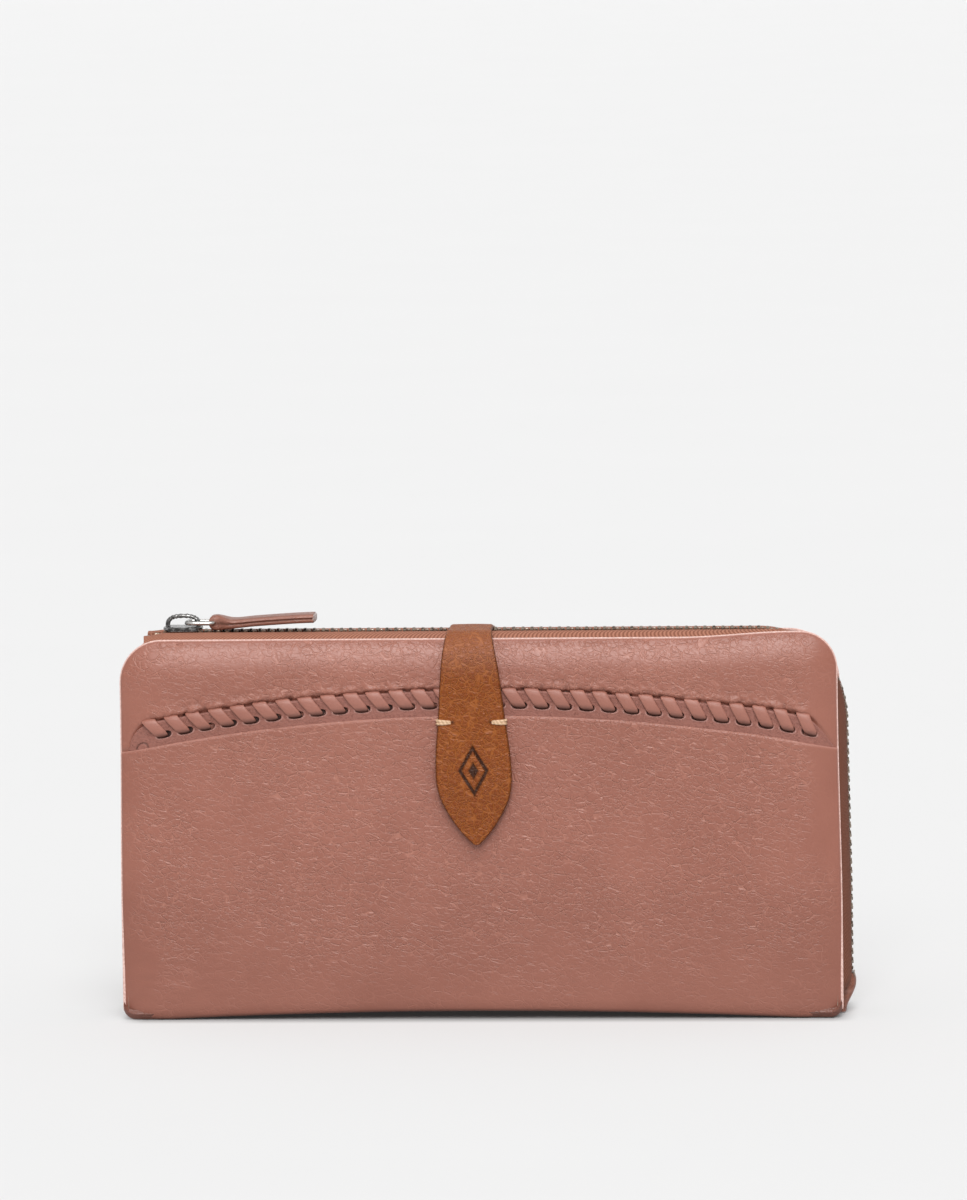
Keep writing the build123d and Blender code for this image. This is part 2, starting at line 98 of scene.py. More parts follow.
TAPE_END = 3.4                          # the tapes run on under the end tab
STRAP_X = (strap_low[0] + strap_high[0]) / 2
STITCH_UP = 79.3                        # height of the two stitches on the flap
UNSETTLED = ("strap", "coin_pocket", "coin_pull", "zip_slider", "pull_ring", "pull_tab")
SLIDING = ("zip_slider", "pull_ring", "pull_tab")
SIDES = (("front", -1, "front_cover"), ("back", 1, "back_shell"))


# ------------------------------------------------------------------ mesh helpers
def smooth_step(value, low, high):
    t = np.clip((value - low) / (high - low), 0.0, 1.0)
    return t * t * (3 - 2 * t)


def signed_power(value, power):
    """A power that keeps the sign, for rounded rectangles."""
    return math.copysign(abs(value) ** power, value)


def full_turn(steps):
    return np.linspace(0, TURN, steps, endpoint=False)


def travelled(route):
    """Distance along a path to each of its points."""
    return np.concatenate([[0], np.cumsum(np.hypot(*np.diff(route[:, :2], axis=0).T))])


def twice(values):
    """A grid's values for both faces of the solid made from it."""
    return np.concatenate([values.ravel(), values.ravel()])


def quads(rows, cols, wrap=False):
    """Faces of a grid of points, closed round its columns if wrap is set."""
    r = np.arange(rows - 1)[:, None]
    c = np.arange(cols if wrap else cols - 1)[None, :]
    n = (c + 1) % cols
    corners = [r * cols + c, r * cols + n, (r + 1) * cols + n, (r + 1) * cols + c]
    return np.stack(corners, -1).reshape(-1, 4)


def sheet_solid(front, back):
    """Closed solid between two grids of points of the same shape."""
    rows, cols = front.shape[:2]
    count = rows * cols
    points = np.concatenate([front.reshape(-1, 3), back.reshape(-1, 3)])
    face = quads(rows, cols)
    rim = np.concatenate([
        np.arange(cols),
        cols - 1 + cols * np.arange(1, rows),
        (rows - 1) * cols + np.arange(cols - 2, -1, -1),
        cols * np.arange(rows - 2, 0, -1),
    ])
    after = np.roll(rim, -1)
    side = np.stack([rim, rim + count, after + count, after], 1)
    return points, [f for part in (face, face[:, ::-1] + count, side) for f in part.tolist()]


def loft_solid(rings):
    """Closed solid through a row of closed outlines with the same number of points."""
    rings = np.asarray(rings, float)
    count, around = rings.shape[:2]
    faces = quads(count, around, wrap=True).tolist()
    faces.append(list(range(around))[::-1])
    faces.append([(count - 1) * around + i for i in range(around)])
    return rings.reshape(-1, 3), faces


def loop_solid(rings):
    """Closed ring through outlines that come back to the first one."""
    rings = np.asarray(rings, float)
    closed = np.concatenate([rings, rings[:1]])
    count, around = closed.shape[:2]
    faces = quads(count, around, wrap=True) % ((count - 1) * around)
    return rings.reshape(-1, 3), faces.tolist()


def merged(parts):
    """One list of points and faces from several."""
    points, faces, first = [], [], 0
    for part_points, part_faces in parts:
        points.append(part_points)
        faces.extend([[i + first for i in face] for face in part_faces])
        first += len(part_points)
    return np.concatenate(points), faces


def rounded_section(half_width, half_thick, steps=5, power=0.5):
    """Outline of a flat strip with rounded edges, as (across, through) pairs."""
    angles = full_turn(4 * steps)
    across = np.sign(np.cos(angles)) * np.abs(np.cos(angles)) ** power * half_width
    through = np.sign(np.sin(angles)) * np.abs(np.sin(angles)) ** power * half_thick
    return np.stack([across, through], 1)


def settled(points):
    """Covers, tape and chain as they sit in use: sides leaning in a little, corner by the zip high.

    All numbers are mm. The warp grows with height, so the bottom edge stays on the ground.
    """
    x, y, z = np.asarray(points, float).T
    high = smooth_step(z, 25, 85)
    lean = 0.6 * smooth_step(-x, -(LEFT + 30), -LEFT) - 0.8 * smooth_step(x, RIGHT - 30, RIGHT)
    cover_only = smooth_step(-z, -(TOP + 3.6), -(TOP + 0.4))
    corner = smooth_step(x, RIGHT - 42, RIGHT - 12) * smooth_step(z, 60, TOP) * smooth_step(-y, 3, 8)
    lift = (0.9 - 0.2 * cover_only) * smooth_step(z, 40, 98) + 1.4 * corner * cover_only
    return np.stack([x + lean * high, y, z + lift], 1)


def make_piece(
    name, shape, material, nodes, body=None, smooth=50, marks=None, uv=None,
    settle=True,
):
    """An object from points and faces, with its material, its CAD nodes and the body it rides on."""
    points, faces = shape
    if settle and body not in UNSETTLED:
        points = settled(points)
    if body in SLIDING:
        points = np.asarray(points) + np.array([0.0, 0.0, SLIDER_RAISE])
    mesh = bpy.data.meshes.new(name)
    mesh.from_pydata((np.asarray(points) * MM).tolist(), [], faces)
    for mark, values in (marks or {}).items():
        layer = mesh.attributes.new(mark, "FLOAT", "POINT")
        layer.data.foreach_set("value", np.asarray(values, np.float32))
    if uv is not None:
        layer = mesh.uv_layers.new(name="cloth")
        corners = np.zeros(len(mesh.loops), np.int32)
        mesh.loops.foreach_get("vertex_index", corners)
        layer.data.foreach_set("uv", np.asarray(uv, np.float32)[corners].ravel())
    tidy = bmesh.new()
    tidy.from_mesh(mesh)
    bmesh.ops.recalc_face_normals(tidy, faces=tidy.faces)
    tidy.to_mesh(mesh)
    tidy.free()
    mesh.shade_smooth()
    mesh.set_sharp_from_angle(angle=math.radians(smooth))
    mesh.materials.append(material)
    piece = bpy.data.objects.new(name, mesh)
    bpy.context.scene.collection.objects.link(piece)
    if nodes:
        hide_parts(*nodes)
    if body:
        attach(piece, body)
    return piece


def marks_for(points, calm=0.0, wear_and_highlight=0.0, dark_marks_and_shade=0.0):
    """Marks for a leather piece; each is one number or one value for each point. The lightening mark
    holds real rubbing and painted highlight, the darkening mark real dark marks and painted shade.
    """
    zero = np.zeros(len(points))
    return {"calm": zero + calm, "wear_and_highlight": zero + wear_and_highlight, "dark_marks_and_shade": zero + dark_marks_and_shade}


def noise_at(points, scale, seed=0.0):
    """Smooth noise from -1 to 1 at each point; scale is the size of its lumps."""
    shift = Vector((seed, seed * 1.7, -seed))
    return np.array([noise.noise(Vector(p) / scale + shift) for p in points])


def grid_noise(x, z, scale, seed=0.0):
    """Smooth noise over a grid of places on a cover."""
    return noise_at(np.stack([x, 0 * x, z], -1).reshape(-1, 3), scale, seed).reshape(x.shape)


# ------------------------------------------------------------------ outline of a cover
def arch(x):
    """Height of the bottom edge."""
    span = (RIGHT - LEFT) / 2 - ARCH_FLAT
    return ARCH_RISE * np.clip(1 - ((x - MIDDLE) / span) ** 2, 0, 1)


def seam(x):
    """Height of the lower panel's upper edge."""
    return SEAM_CROWN - SEAM_RADIUS + np.sqrt(SEAM_RADIUS ** 2 - (x - MIDDLE) ** 2)


def corner_drop(x, left_radius, right_radius):
    """How far a rounded corner lies in from the straight edge, at x."""
    from_left = np.clip(left_radius - (x - LEFT), 0, left_radius)
    from_right = np.clip(right_radius - (RIGHT - x), 0, right_radius)
    drop_left = left_radius - np.sqrt(left_radius ** 2 - from_left ** 2)
    drop_right = right_radius - np.sqrt(right_radius ** 2 - from_right ** 2)
    return drop_left + drop_right


def edge_distance(x, z, radii=FRONT_RADII):
    """Distance from each point of a cover to its outline; radii are those of its upper corners."""
    distance = np.minimum(np.minimum(x - LEFT, RIGHT - x), np.minimum(TOP - z, z - arch(x)))
    corners = (
        (LEFT, 1, TOP, -1, radii[0]),
        (RIGHT, -1, TOP, -1, radii[1]),
        (LEFT, 1, 0, 1, RADIUS_BOTTOM),
        (RIGHT, -1, 0, 1, RADIUS_BOTTOM),
    )
    for edge_x, side_x, edge_z, side_z, radius in corners:
        dx = radius - (x - edge_x) * side_x
        dz = radius - (z - edge_z) * side_z
        near = (dx > 0) & (dz > 0)
        distance = np.where(near, radius - np.hypot(dx, dz), distance)
    return np.maximum(distance, 0)


def cover_columns(left_radius, right_radius, step):
    """X places across a cover, closer together round its corners."""
    turn = np.linspace(0, math.pi / 2, 28)[:-1]
    left = LEFT + left_radius * (1 - np.cos(turn))
    right = RIGHT - right_radius * (1 - np.cos(turn))
    count = int((RIGHT - LEFT - left_radius - right_radius) / step)
    middle = np.linspace(LEFT + left_radius, RIGHT - right_radius, count)
    return np.concatenate([left, middle, right[::-1]])


def outline_path(step, inset=0.0, radii=FRONT_RADII):
    """Closed path round a cover as (x, z) with the outward direction at each point."""
    rows = []
    for cx, cz, radius, start in (
        (RIGHT - RADIUS_BOTTOM, RADIUS_BOTTOM, RADIUS_BOTTOM, -90),
        (RIGHT - radii[1], TOP - radii[1], radii[1], 0),
        (LEFT + radii[0], TOP - radii[0], radii[0], 90),
        (LEFT + RADIUS_BOTTOM, RADIUS_BOTTOM, RADIUS_BOTTOM, 180),
    ):
        for angle in np.radians(np.linspace(start, start + 90, 16)):
            out = (math.cos(angle), math.sin(angle))
            rows.append((cx + radius * out[0], cz + radius * out[1], *out))
    filled = []
    for here, there in zip(rows, rows[1:] + rows[:1]):
        here, there = np.array(here), np.array(there)
        count = max(1, int(np.hypot(*(there - here)[:2]) / step))
        filled.extend(here + (there - here) * i / count for i in range(count))
    filled = np.array(filled)
    filled[:, 1] += np.where(filled[:, 1] < 0.05, arch(filled[:, 0]), 0)
    filled[:, :2] -= filled[:, 2:] * inset
    return filled


# ------------------------------------------------------------------ shader helpers
def new_material(name):
    material = bpy.data.materials.new(name)
    material.use_nodes = True
    tree = material.node_tree
    shader = tree.nodes["Principled BSDF"]
    return material, tree, shader


def feed(tree, socket, value):
    """Link a socket to another one, or set it to a number or a colour."""
    if isinstance(value, bpy.types.NodeSocket):
        tree.links.new(value, socket)
    else:
        socket.default_value = value


def node(tree, kind, values=None, **inputs):
    """Add a node, set its properties from values and its sockets from inputs."""
    made = tree.nodes.new("ShaderNode" + kind)
    for name, value in (values or {}).items():
        setattr(made, name, value)
    for name, value in inputs.items():
        feed(tree, made.inputs[name], value)
    return made


def maths(tree, operation, *values):
    made = tree.nodes.new("ShaderNodeMath")
    made.operation = operation
    for socket, value in zip(made.inputs, values):
        feed(tree, socket, value)
    return made.outputs[0]


def ramp(tree, value, low, high, to_low=0.0, to_high=1.0):
    """Smooth change from to_low to to_high as value goes from low to high."""
    made = node(tree, "MapRange", {"interpolation_type": "SMOOTHSTEP"}, Value=value)
    limits = {"From Min": low, "From Max": high, "To Min": to_low, "To Max": to_high}
    for name, number in limits.items():
        made.inputs[name].default_value = number
    return made.outputs[0]


def blend_colour(tree, share, first, second):
    made = tree.nodes.new("ShaderNodeMix")
    made.data_type = "RGBA"
    made.blend_type = "MIX"
    for index, value in ((0, share), (6, first), (7, second)):
        feed(tree, made.inputs[index], (*value, 1.0) if isinstance(value, tuple) else value)
    return made.outputs[2]


def frame_coords(tree, stretch=(1.0, 1.0, 1.0)):
    """The piece's own coordinates in millimetres."""
    coords = node(tree, "TexCoord").outputs["Object"]
    scale = tuple(part / MM for part in stretch)
    return node(tree, "Mapping", Vector=coords, Scale=scale).outputs[0]


def mark(tree, name):
    return node(tree, "Attribute", {"attribute_name": name}).outputs["Fac"]


def set_bump(tree, shader, height, depth_mm):
    bump = node(tree, "Bump", Height=height, Distance=depth_mm * MM, Strength=1.0)
    tree.links.new(bump.outputs[0], shader.inputs["Normal"])


def grooves(tree, place, size, width, seed, broken):
    """Network of fine creases, broken up so that few cells are closed; 1 in a crease, 0 outside."""
    cells = node(
        tree, "TexVoronoi", {"feature": "DISTANCE_TO_EDGE"}, Vector=place, Scale=1.0 / size,
        Randomness=1.0,
    )
    shifted = node(tree, "Mapping", Vector=place, Location=(seed, seed, seed))
    gaps = node(tree, "TexNoise", Vector=shifted.outputs[0], Scale=0.8 / size, Detail=2.0)
    lines = ramp(tree, cells.outputs["Distance"], 0.0, width, 1.0, 0.0)
    return maths(tree, "MULTIPLY", lines, ramp(tree, gaps.outputs["Fac"], *broken))


def leather(
    name, base, crease, light, grain, depth, roughness, stain=0.25, tilt=-18, gloss=0.5, line=0.11,
    broken=(0.36, 0.60),
):
    """Grained leather: broken creases over soft pebbles, finer pores and a slow drift of colour."""
    material, tree, shader = new_material(name)
    turned = node(tree, "Mapping", Vector=frame_coords(tree), Rotation=(0, math.radians(tilt), 0))
    place = node(tree, "Mapping", Vector=turned.outputs[0], Scale=(0.80, 1.0, 1.12)).outputs[0]
    warp = node(tree, "TexNoise", Vector=place, Scale=0.7 / grain, Detail=1.5)
    centred = node(tree, "VectorMath", {"operation": "SUBTRACT"}, Vector=warp.outputs["Color"])
    centred.inputs[1].default_value = (0.5, 0.5, 0.5)
    pushed = node(tree, "VectorMath", {"operation": "SCALE"}, Vector=centred.outputs[0])
    pushed.inputs["Scale"].default_value = 0.55 * grain
    bent = node(tree, "VectorMath", {"operation": "ADD"}, Vector=place)
    tree.links.new(pushed.outputs[0], bent.inputs[1])
    large = grooves(tree, bent.outputs[0], grain, line, 3.0, broken)
    small = grooves(tree, bent.outputs[0], grain * 0.52, line * 1.35, 11.0, broken)
    pebble = node(
        tree, "TexVoronoi", {"feature": "SMOOTH_F1"}, Vector=bent.outputs[0], Scale=1.6 / grain,
    )
    fine = node(tree, "TexNoise", Vector=place, Scale=6.0 / grain, Detail=5.0)
    drift = node(tree, "TexNoise", Vector=frame_coords(tree), Scale=0.045, Detail=3.0)
    lines = maths(tree, "MAXIMUM", large, maths(tree, "MULTIPLY", small, 0.6))
    domes = maths(tree, "MULTIPLY", pebble.outputs["Distance"], -0.16)
    height = maths(tree, "ADD", domes, maths(tree, "MULTIPLY", lines, -0.75))
    height = maths(tree, "ADD", height, maths(tree, "MULTIPLY", fine.outputs["Fac"], 0.08))
    grained = maths(tree, "SUBTRACT", 1.0, mark(tree, "calm"))
    height = maths(tree, "MULTIPLY", height, grained)
    crease_share = maths(tree, "MULTIPLY", lines, grained)
    drifted = blend_colour(tree, ramp(tree, drift.outputs["Fac"], 0.25, 0.75), base, light)
    colour = blend_colour(tree, maths(tree, "MULTIPLY", crease_share, stain), drifted, crease)
    # Paler where the lightening mark is set: real rubbing in places, painted highlight on edges, bends,
    # rims and bands in others.
    wear_and_highlight_colour = tuple(min(1.0, c * 1.3 + 0.16) for c in light)
    colour = blend_colour(tree, mark(tree, "wear_and_highlight"), colour, wear_and_highlight_colour)
    # Darkened by the other mark: real dark marks such as burnished edges, pressed motifs and glued
    # joins, and painted shade in holes, creases, underneath and towards the bottom.
    colour = blend_colour(tree, mark(tree, "dark_marks_and_shade"), colour, tuple(c * 0.10 for c in base))
    tree.links.new(colour, shader.inputs["Base Color"])
    rough = ramp(tree, fine.outputs["Fac"], 0.3, 0.7, roughness - 0.05, roughness + 0.08)
    tree.links.new(rough, shader.inputs["Roughness"])
    shader.inputs["Specular IOR Level"].default_value = gloss
    set_bump(tree, shader, height, depth)
    return material


def cloth(name, base, dark, pitch=0.42, roughness=0.85, sheen=0.25):
    """Woven cloth with a diagonal rib, laid out by the piece's own unrolled coordinates."""
    material, tree, shader = new_material(name)
    unrolled = node(tree, "UVMap", {"uv_map": "cloth"}).outputs[0]
    turned = node(tree, "Mapping", Vector=unrolled, Rotation=(0, 0, math.radians(52)))
    ribs = node(tree, "TexWave", Vector=turned.outputs[0], Scale=TURN / (20 * pitch), Distortion=0.6)
    crossed = node(tree, "Mapping", Vector=unrolled, Rotation=(0, 0, math.radians(-38)))
    threads = node(
        tree, "TexWave", Vector=crossed.outputs[0], Scale=TURN / (20 * pitch), Distortion=1.0
    )
    fuzz = node(tree, "TexNoise", Vector=unrolled, Scale=5.0, Detail=4.0)
    thread_height = ramp(tree, threads.outputs["Fac"], 0, 1, 0.55, 1.0)
    woven = maths(tree, "MULTIPLY", ribs.outputs["Fac"], thread_height)
    height = maths(tree, "ADD", woven, maths(tree, "MULTIPLY", fuzz.outputs["Fac"], 0.35))
    colour = blend_colour(tree, ramp(tree, woven, 0.05, 0.7), dark, base)
    # Darkened as painted shade where the piece's darkening mark is set.
    colour = blend_colour(tree, mark(tree, "dark_marks_and_shade"), colour, (0.085, 0.024, 0.014))
    tree.links.new(colour, shader.inputs["Base Color"])
    shader.inputs["Roughness"].default_value = roughness
    shader.inputs["Sheen Weight"].default_value = sheen
    shader.inputs["Specular IOR Level"].default_value = 0.2
    set_bump(tree, shader, height, 0.12)
    return material


def woven_lining(name, base, dark):
    """Fine lining cloth on plain CAD solids: two sets of threads in the piece's coordinates."""
    material, tree, shader = new_material(name)
    place = frame_coords(tree)
    across = node(tree, "TexWave", {"bands_direction": "X"}, Vector=place, Scale=TURN / 20 / 0.5)
    upward = node(tree, "TexWave", {"bands_direction": "Z"}, Vector=place, Scale=TURN / 20 / 0.5)
    fuzz = node(tree, "TexNoise", Vector=place, Scale=2.0, Detail=4.0)
    woven = maths(tree, "MULTIPLY", across.outputs["Fac"], upward.outputs["Fac"])
    height = maths(tree, "ADD", woven, maths(tree, "MULTIPLY", fuzz.outputs["Fac"], 0.4))
    colour = blend_colour(tree, ramp(tree, height, 0.2, 1.0), dark, base)
    tree.links.new(colour, shader.inputs["Base Color"])
    shader.inputs["Roughness"].default_value = 0.8
    shader.inputs["Sheen Weight"].default_value = 0.2
    set_bump(tree, shader, height, 0.06)
    return material


def metal(name, base, dark, roughness, lumps=0.9, tarnish=0.5):
    """Plated metal with fine scratches and darker patches in it."""
    material, tree, shader = new_material(name)
    place = frame_coords(tree)
    patches = node(tree, "TexNoise", Vector=place, Scale=lumps, Detail=5.0)
    stretched = frame_coords(tree, (9.0, 1.0, 1.0))
    scratches = node(tree, "TexNoise", Vector=stretched, Scale=0.8, Detail=3.0)
    share = ramp(tree, patches.outputs["Fac"], 0.42, 0.66, 0.0, tarnish)
    tree.links.new(blend_colour(tree, share, base, dark), shader.inputs["Base Color"])
    shader.inputs["Metallic"].default_value = 1.0
    rough = ramp(tree, patches.outputs["Fac"], 0.3, 0.7, roughness, roughness + 0.16)
    tree.links.new(rough, shader.inputs["Roughness"])
    set_bump(tree, shader, scratches.outputs["Fac"], 0.012)
    return material


def raw_edge(name, base, dark):
    """Cut or painted edge of leather: fibres and small lumps."""
    material, tree, shader = new_material(name)
    place = frame_coords(tree)
    lumps = node(tree, "TexNoise", Vector=place, Scale=1.6, Detail=5.0)
    colour = blend_colour(tree, ramp(tree, lumps.outputs["Fac"], 0.3, 0.7), dark, base)
    tree.links.new(colour, shader.inputs["Base Color"])
    shader.inputs["Roughness"].default_value = 0.5
    set_bump(tree, shader, lumps.outputs["Fac"], 0.08)
    return material


def thread(name, base, dark):
    """Twisted waxed thread."""
    material, tree, shader = new_material(name)
    place = node(tree, "Mapping", Vector=frame_coords(tree), Rotation=(0, math.radians(35), 0))
    twist = node(tree, "TexWave", Vector=place.outputs[0], Scale=TURN / 20 / 0.9, Distortion=1.2)
    colour = blend_colour(tree, ramp(tree, twist.outputs["Fac"], 0.1, 0.7), dark, base)
    tree.links.new(colour, shader.inputs["Base Color"])
    shader.inputs["Roughness"].default_value = 0.65
    set_bump(tree, shader, twist.outputs["Fac"], 0.06)
    return material


ROSE = (0.266, 0.094, 0.063)
# Lighter crease colour on the covers: painted highlight where the crease lips catch the light from
# above.
ROSE_CREASE_HIGHLIGHT = (0.440, 0.190, 0.138)
ROSE_LIGHT = (0.300, 0.110, 0.075)
cover_leather = leather(
    "cover_leather", ROSE, ROSE_CREASE_HIGHLIGHT, ROSE_LIGHT, grain=2.0, depth=0.22, roughness=0.40, stain=0.50,
)
lace_leather = leather(
    "lace_leather", (0.300, 0.114, 0.080), (0.21, 0.078, 0.056), (0.33, 0.130, 0.094),
    grain=0.9, depth=0.03, roughness=0.42,
)
strip_leather = leather(
    "strip_leather", (0.258, 0.094, 0.066), (0.17, 0.060, 0.044), (0.285, 0.108, 0.080),
    grain=0.8, depth=0.12, roughness=0.52,
)
trim_leather = leather(
    "trim_leather", (0.200, 0.066, 0.037), (0.08, 0.022, 0.012), (0.27, 0.100, 0.062),
    grain=1.0, depth=0.07, roughness=0.36, stain=0.5, tilt=0,
)
tan_leather = leather(
    "tan_leather", (0.175, 0.034, 0.001), (0.40, 0.130, 0.022), (0.220, 0.048, 0.003),
    grain=1.7, depth=0.30, roughness=0.45, stain=0.45, gloss=0.3, line=0.15, broken=(0.24, 0.46),
)
inner_leather = leather(
    "inner_leather", (0.31, 0.125, 0.090), (0.21, 0.08, 0.058), (0.34, 0.145, 0.105),
    grain=0.9, depth=0.04, roughness=0.5,
)
edge_paint = raw_edge("edge_paint", (0.74, 0.52, 0.47), (0.56, 0.34, 0.29))
raw_cut = raw_edge("raw_cut", (0.50, 0.42, 0.40), (0.30, 0.22, 0.20))
tape_cloth = cloth("zip_cloth", (0.40, 0.175, 0.115), (0.22, 0.085, 0.052), pitch=0.62, sheen=0.0)
lining_cloth = woven_lining("lining_cloth", (0.36, 0.17, 0.135), (0.22, 0.095, 0.075))
board_fibre = raw_edge("board", (0.34, 0.26, 0.21), (0.22, 0.16, 0.12))
tooth_metal = metal("zip_metal", (0.38, 0.30, 0.235), (0.055, 0.036, 0.026), 0.24, tarnish=0.85)
slider_metal = metal("slider_metal", (0.24, 0.235, 0.23), (0.035, 0.033, 0.03), 0.16, tarnish=0.85)
ring_metal = metal("ring_metal", (0.55, 0.54, 0.52), (0.25, 0.24, 0.23), 0.20, tarnish=0.35)
magnet_metal = metal("magnet_steel", (0.5, 0.5, 0.5), (0.3, 0.3, 0.3), 0.3)
cream_thread = thread("stitch_thread", (0.66, 0.45, 0.29), (0.52, 0.34, 0.20))
rose_thread = thread("rose_thread", (0.50, 0.26, 0.21), (0.25, 0.11, 0.09))


# ------------------------------------------------------------------ covers
EDGE_FACE = 9.75          # where the turned edge leaves the lining
TURN_RADIUS = 0.7
PAD, PAD_REACH = 2.65, 13.0
BOTTOM_ROLL, BOTTOM_REACH = 1.1, 3.5
BOARD_BACK = box_mm("back_board")[0][1]
BOARD_FACE = box_mm("back_board")[1][1]
BOARD_INSET = 1.2
LEATHER = 1.0


def rounded(share):
    """Quarter of an ellipse: 0 at 0, level at 1."""
    return np.sqrt(1 - (1 - np.clip(share, 0, 1)) ** 2)


def padded_depth(x, z, radii=FRONT_RADII):
    """How far the padded leather stands out from the middle plane."""
    whole = edge_distance(x, z, radii)
    upper = edge_distance(x, np.maximum(z, 30.0), radii)
    shoulder = 1 - (1 - np.clip(upper / PAD_REACH, 0, 1)) ** 2.6
    depth = EDGE_FACE + TURN_RADIUS * rounded(whole / TURN_RADIUS) + PAD * shoulder
    below = z - arch(x)
    belly = 1.0 * np.clip(1 - z / 58.0, 0, 1) ** 2
    return depth - belly - BOTTOM_ROLL * (1 - rounded(below / BOTTOM_REACH))


def skin_back(x, z, radii=FRONT_RADII):
    """Rear face of the leather: a leather's thickness behind its front, never inside the lining."""
    return np.maximum(padded_depth(x, z, radii) - LEATHER, INSIDE + 0.15)


def panel_grid(columns, low, high, rows):
    share = np.linspace(0, 1, rows)[:, None]
    x = np.broadcast_to(columns[None, :], (rows, len(columns)))
    return x, low[None, :] + (high - low)[None, :] * share


def cover_marks(x, z):
    """Where the grain is smoothed, and how much lighter the leather is: lighter along its very edge,
    and a painted highlight in a band just below the top edge.
    """
    d = edge_distance(x, z)
    sides = np.minimum(x - LEFT, RIGHT - x)
    wobble = grid_noise(x, z, 14.0)
    patches = grid_noise(x, z, 21.0, 8.0)
    calm = 0.75 * smooth_step(-sides + 7 * wobble, -11, -1)
    calm += 0.45 * smooth_step(patches, 0.05, 0.55)
    calm += 0.70 * smooth_step(-z + 10 * wobble, -30, -5)
    below = TOP - z
    highlight_band = smooth_step(below, 0.8, 2.4) * smooth_step(-below, -9.0, -3.6)
    highlight_band = highlight_band * smooth_step(sides, 3, 16)
    # Lighter along the very edge, plus the painted highlight band below the top edge.
    wear_and_highlight = 0.5 * smooth_step(-d, -0.3, -0.02) + 0.24 * highlight_band
    return np.clip(calm, 0, 0.9), wear_and_highlight


def build_panel(
    name, x, z, depth, sign, nodes, body, extra_highlight=0.0, dark_marks_and_shade=0.0, radii=FRONT_RADII,
):
    """One padded leather skin over a board, from the depth of its face at each place."""
    calm, wear_and_highlight = cover_marks(x, z)
    wear_and_highlight = np.clip(wear_and_highlight + extra_highlight, 0, 1)
    # Painted shade: a dark line along the bottom edge, and the lower part darker towards the bottom.
    dark_marks_and_shade = dark_marks_and_shade + 0.35 * smooth_step(-(z - arch(x)), -1.3, -0.1)
    dark_marks_and_shade = np.clip(dark_marks_and_shade + 0.12 * smooth_step(-z, -55, -6), 0, 1)
    front = np.stack([x, sign * depth, z], -1)
    back = np.stack([x, sign * np.minimum(skin_back(x, z, radii), depth - 0.25), z], -1)
    marks = {"calm": twice(calm), "wear_and_highlight": twice(wear_and_highlight), "dark_marks_and_shade": twice(dark_marks_and_shade)}
    piece = make_piece(
        name, sheet_solid(front, back), cover_leather, nodes, body, marks=marks
    )


LACE_COUNT = 30
lacing_low, lacing_high = box_mm("whip_lacing")
LACES = np.linspace(lacing_low[0] + 5.1, lacing_high[0] - 3.2, LACE_COUNT)
LACE_PITCH = LACES[1] - LACES[0]


def strip_top(x):
    """Height of the lace strip's upper edge above the seam; it tapers to nothing at its ends."""
    left = np.clip((x - LEFT - 2.2) / 6.5, 0, 1)
    right = np.clip((RIGHT - 1.0 - x) / 9.0, 0, 1)
    return STRIP_HEIGHT * np.sqrt(1 - (1 - left) ** 2) * np.sin(right * math.pi / 2) ** 0.8


def build_upper_panel():
    columns = cover_columns(*FRONT_RADII, 0.36)
    low = seam(columns) - 2.2
    high = TOP - corner_drop(columns, *FRONT_RADII)
    x, z = panel_grid(columns, low, high, 96)
    above = z - seam(x) - strip_top(x)
    phase = (x - LACES[0]) / LACE_PITCH
    laced = smooth_step(x, LACES[0] - 5, LACES[0]) * smooth_step(-x, -LACES[-1] - 5, -LACES[-1])
    spots = np.stack([x, above, 0 * x], -1).reshape(-1, 3)
    crumple = noise_at(spots, 2.1, 3.0) + 0.7 * noise_at(spots, 1.0, 7.0)
    crumple = crumple.reshape(x.shape)
    pucker = 0.5 + 0.5 * np.cos(TURN * (phase + 0.28))
    fade = np.exp(-np.clip(above, 0, 40) / 2.4)
    depth = padded_depth(x, z)
    ends = smooth_step(x, LEFT + 1, LEFT + 9) * smooth_step(-x, -RIGHT + 2, -RIGHT + 12)
    depth -= (0.35 + 0.95 * ends) * np.exp(-(np.clip(above - 0.05, 0, 9) / 0.62) ** 2)
    depth += laced * 0.30 * np.exp(-((above - 1.5) / 0.8) ** 2) * (0.4 + 0.6 * pucker)
    depth += laced * fade * (0.72 * crumple + 0.12 * pucker)
    # Painted shade in the hollows of the crumples above the laces.
    folds = 0.72 * laced * np.exp(-np.clip(above, 0, 40) / 1.5) * smooth_step(-crumple, 0.05, 0.7)
    depth += 0.12 * grid_noise(x, z, 17.0, 2.0)
    build_panel(
        "front_upper_skin", x, z, depth, -1, ["front_upper_panel"], "front_cover", dark_marks_and_shade=folds
    )


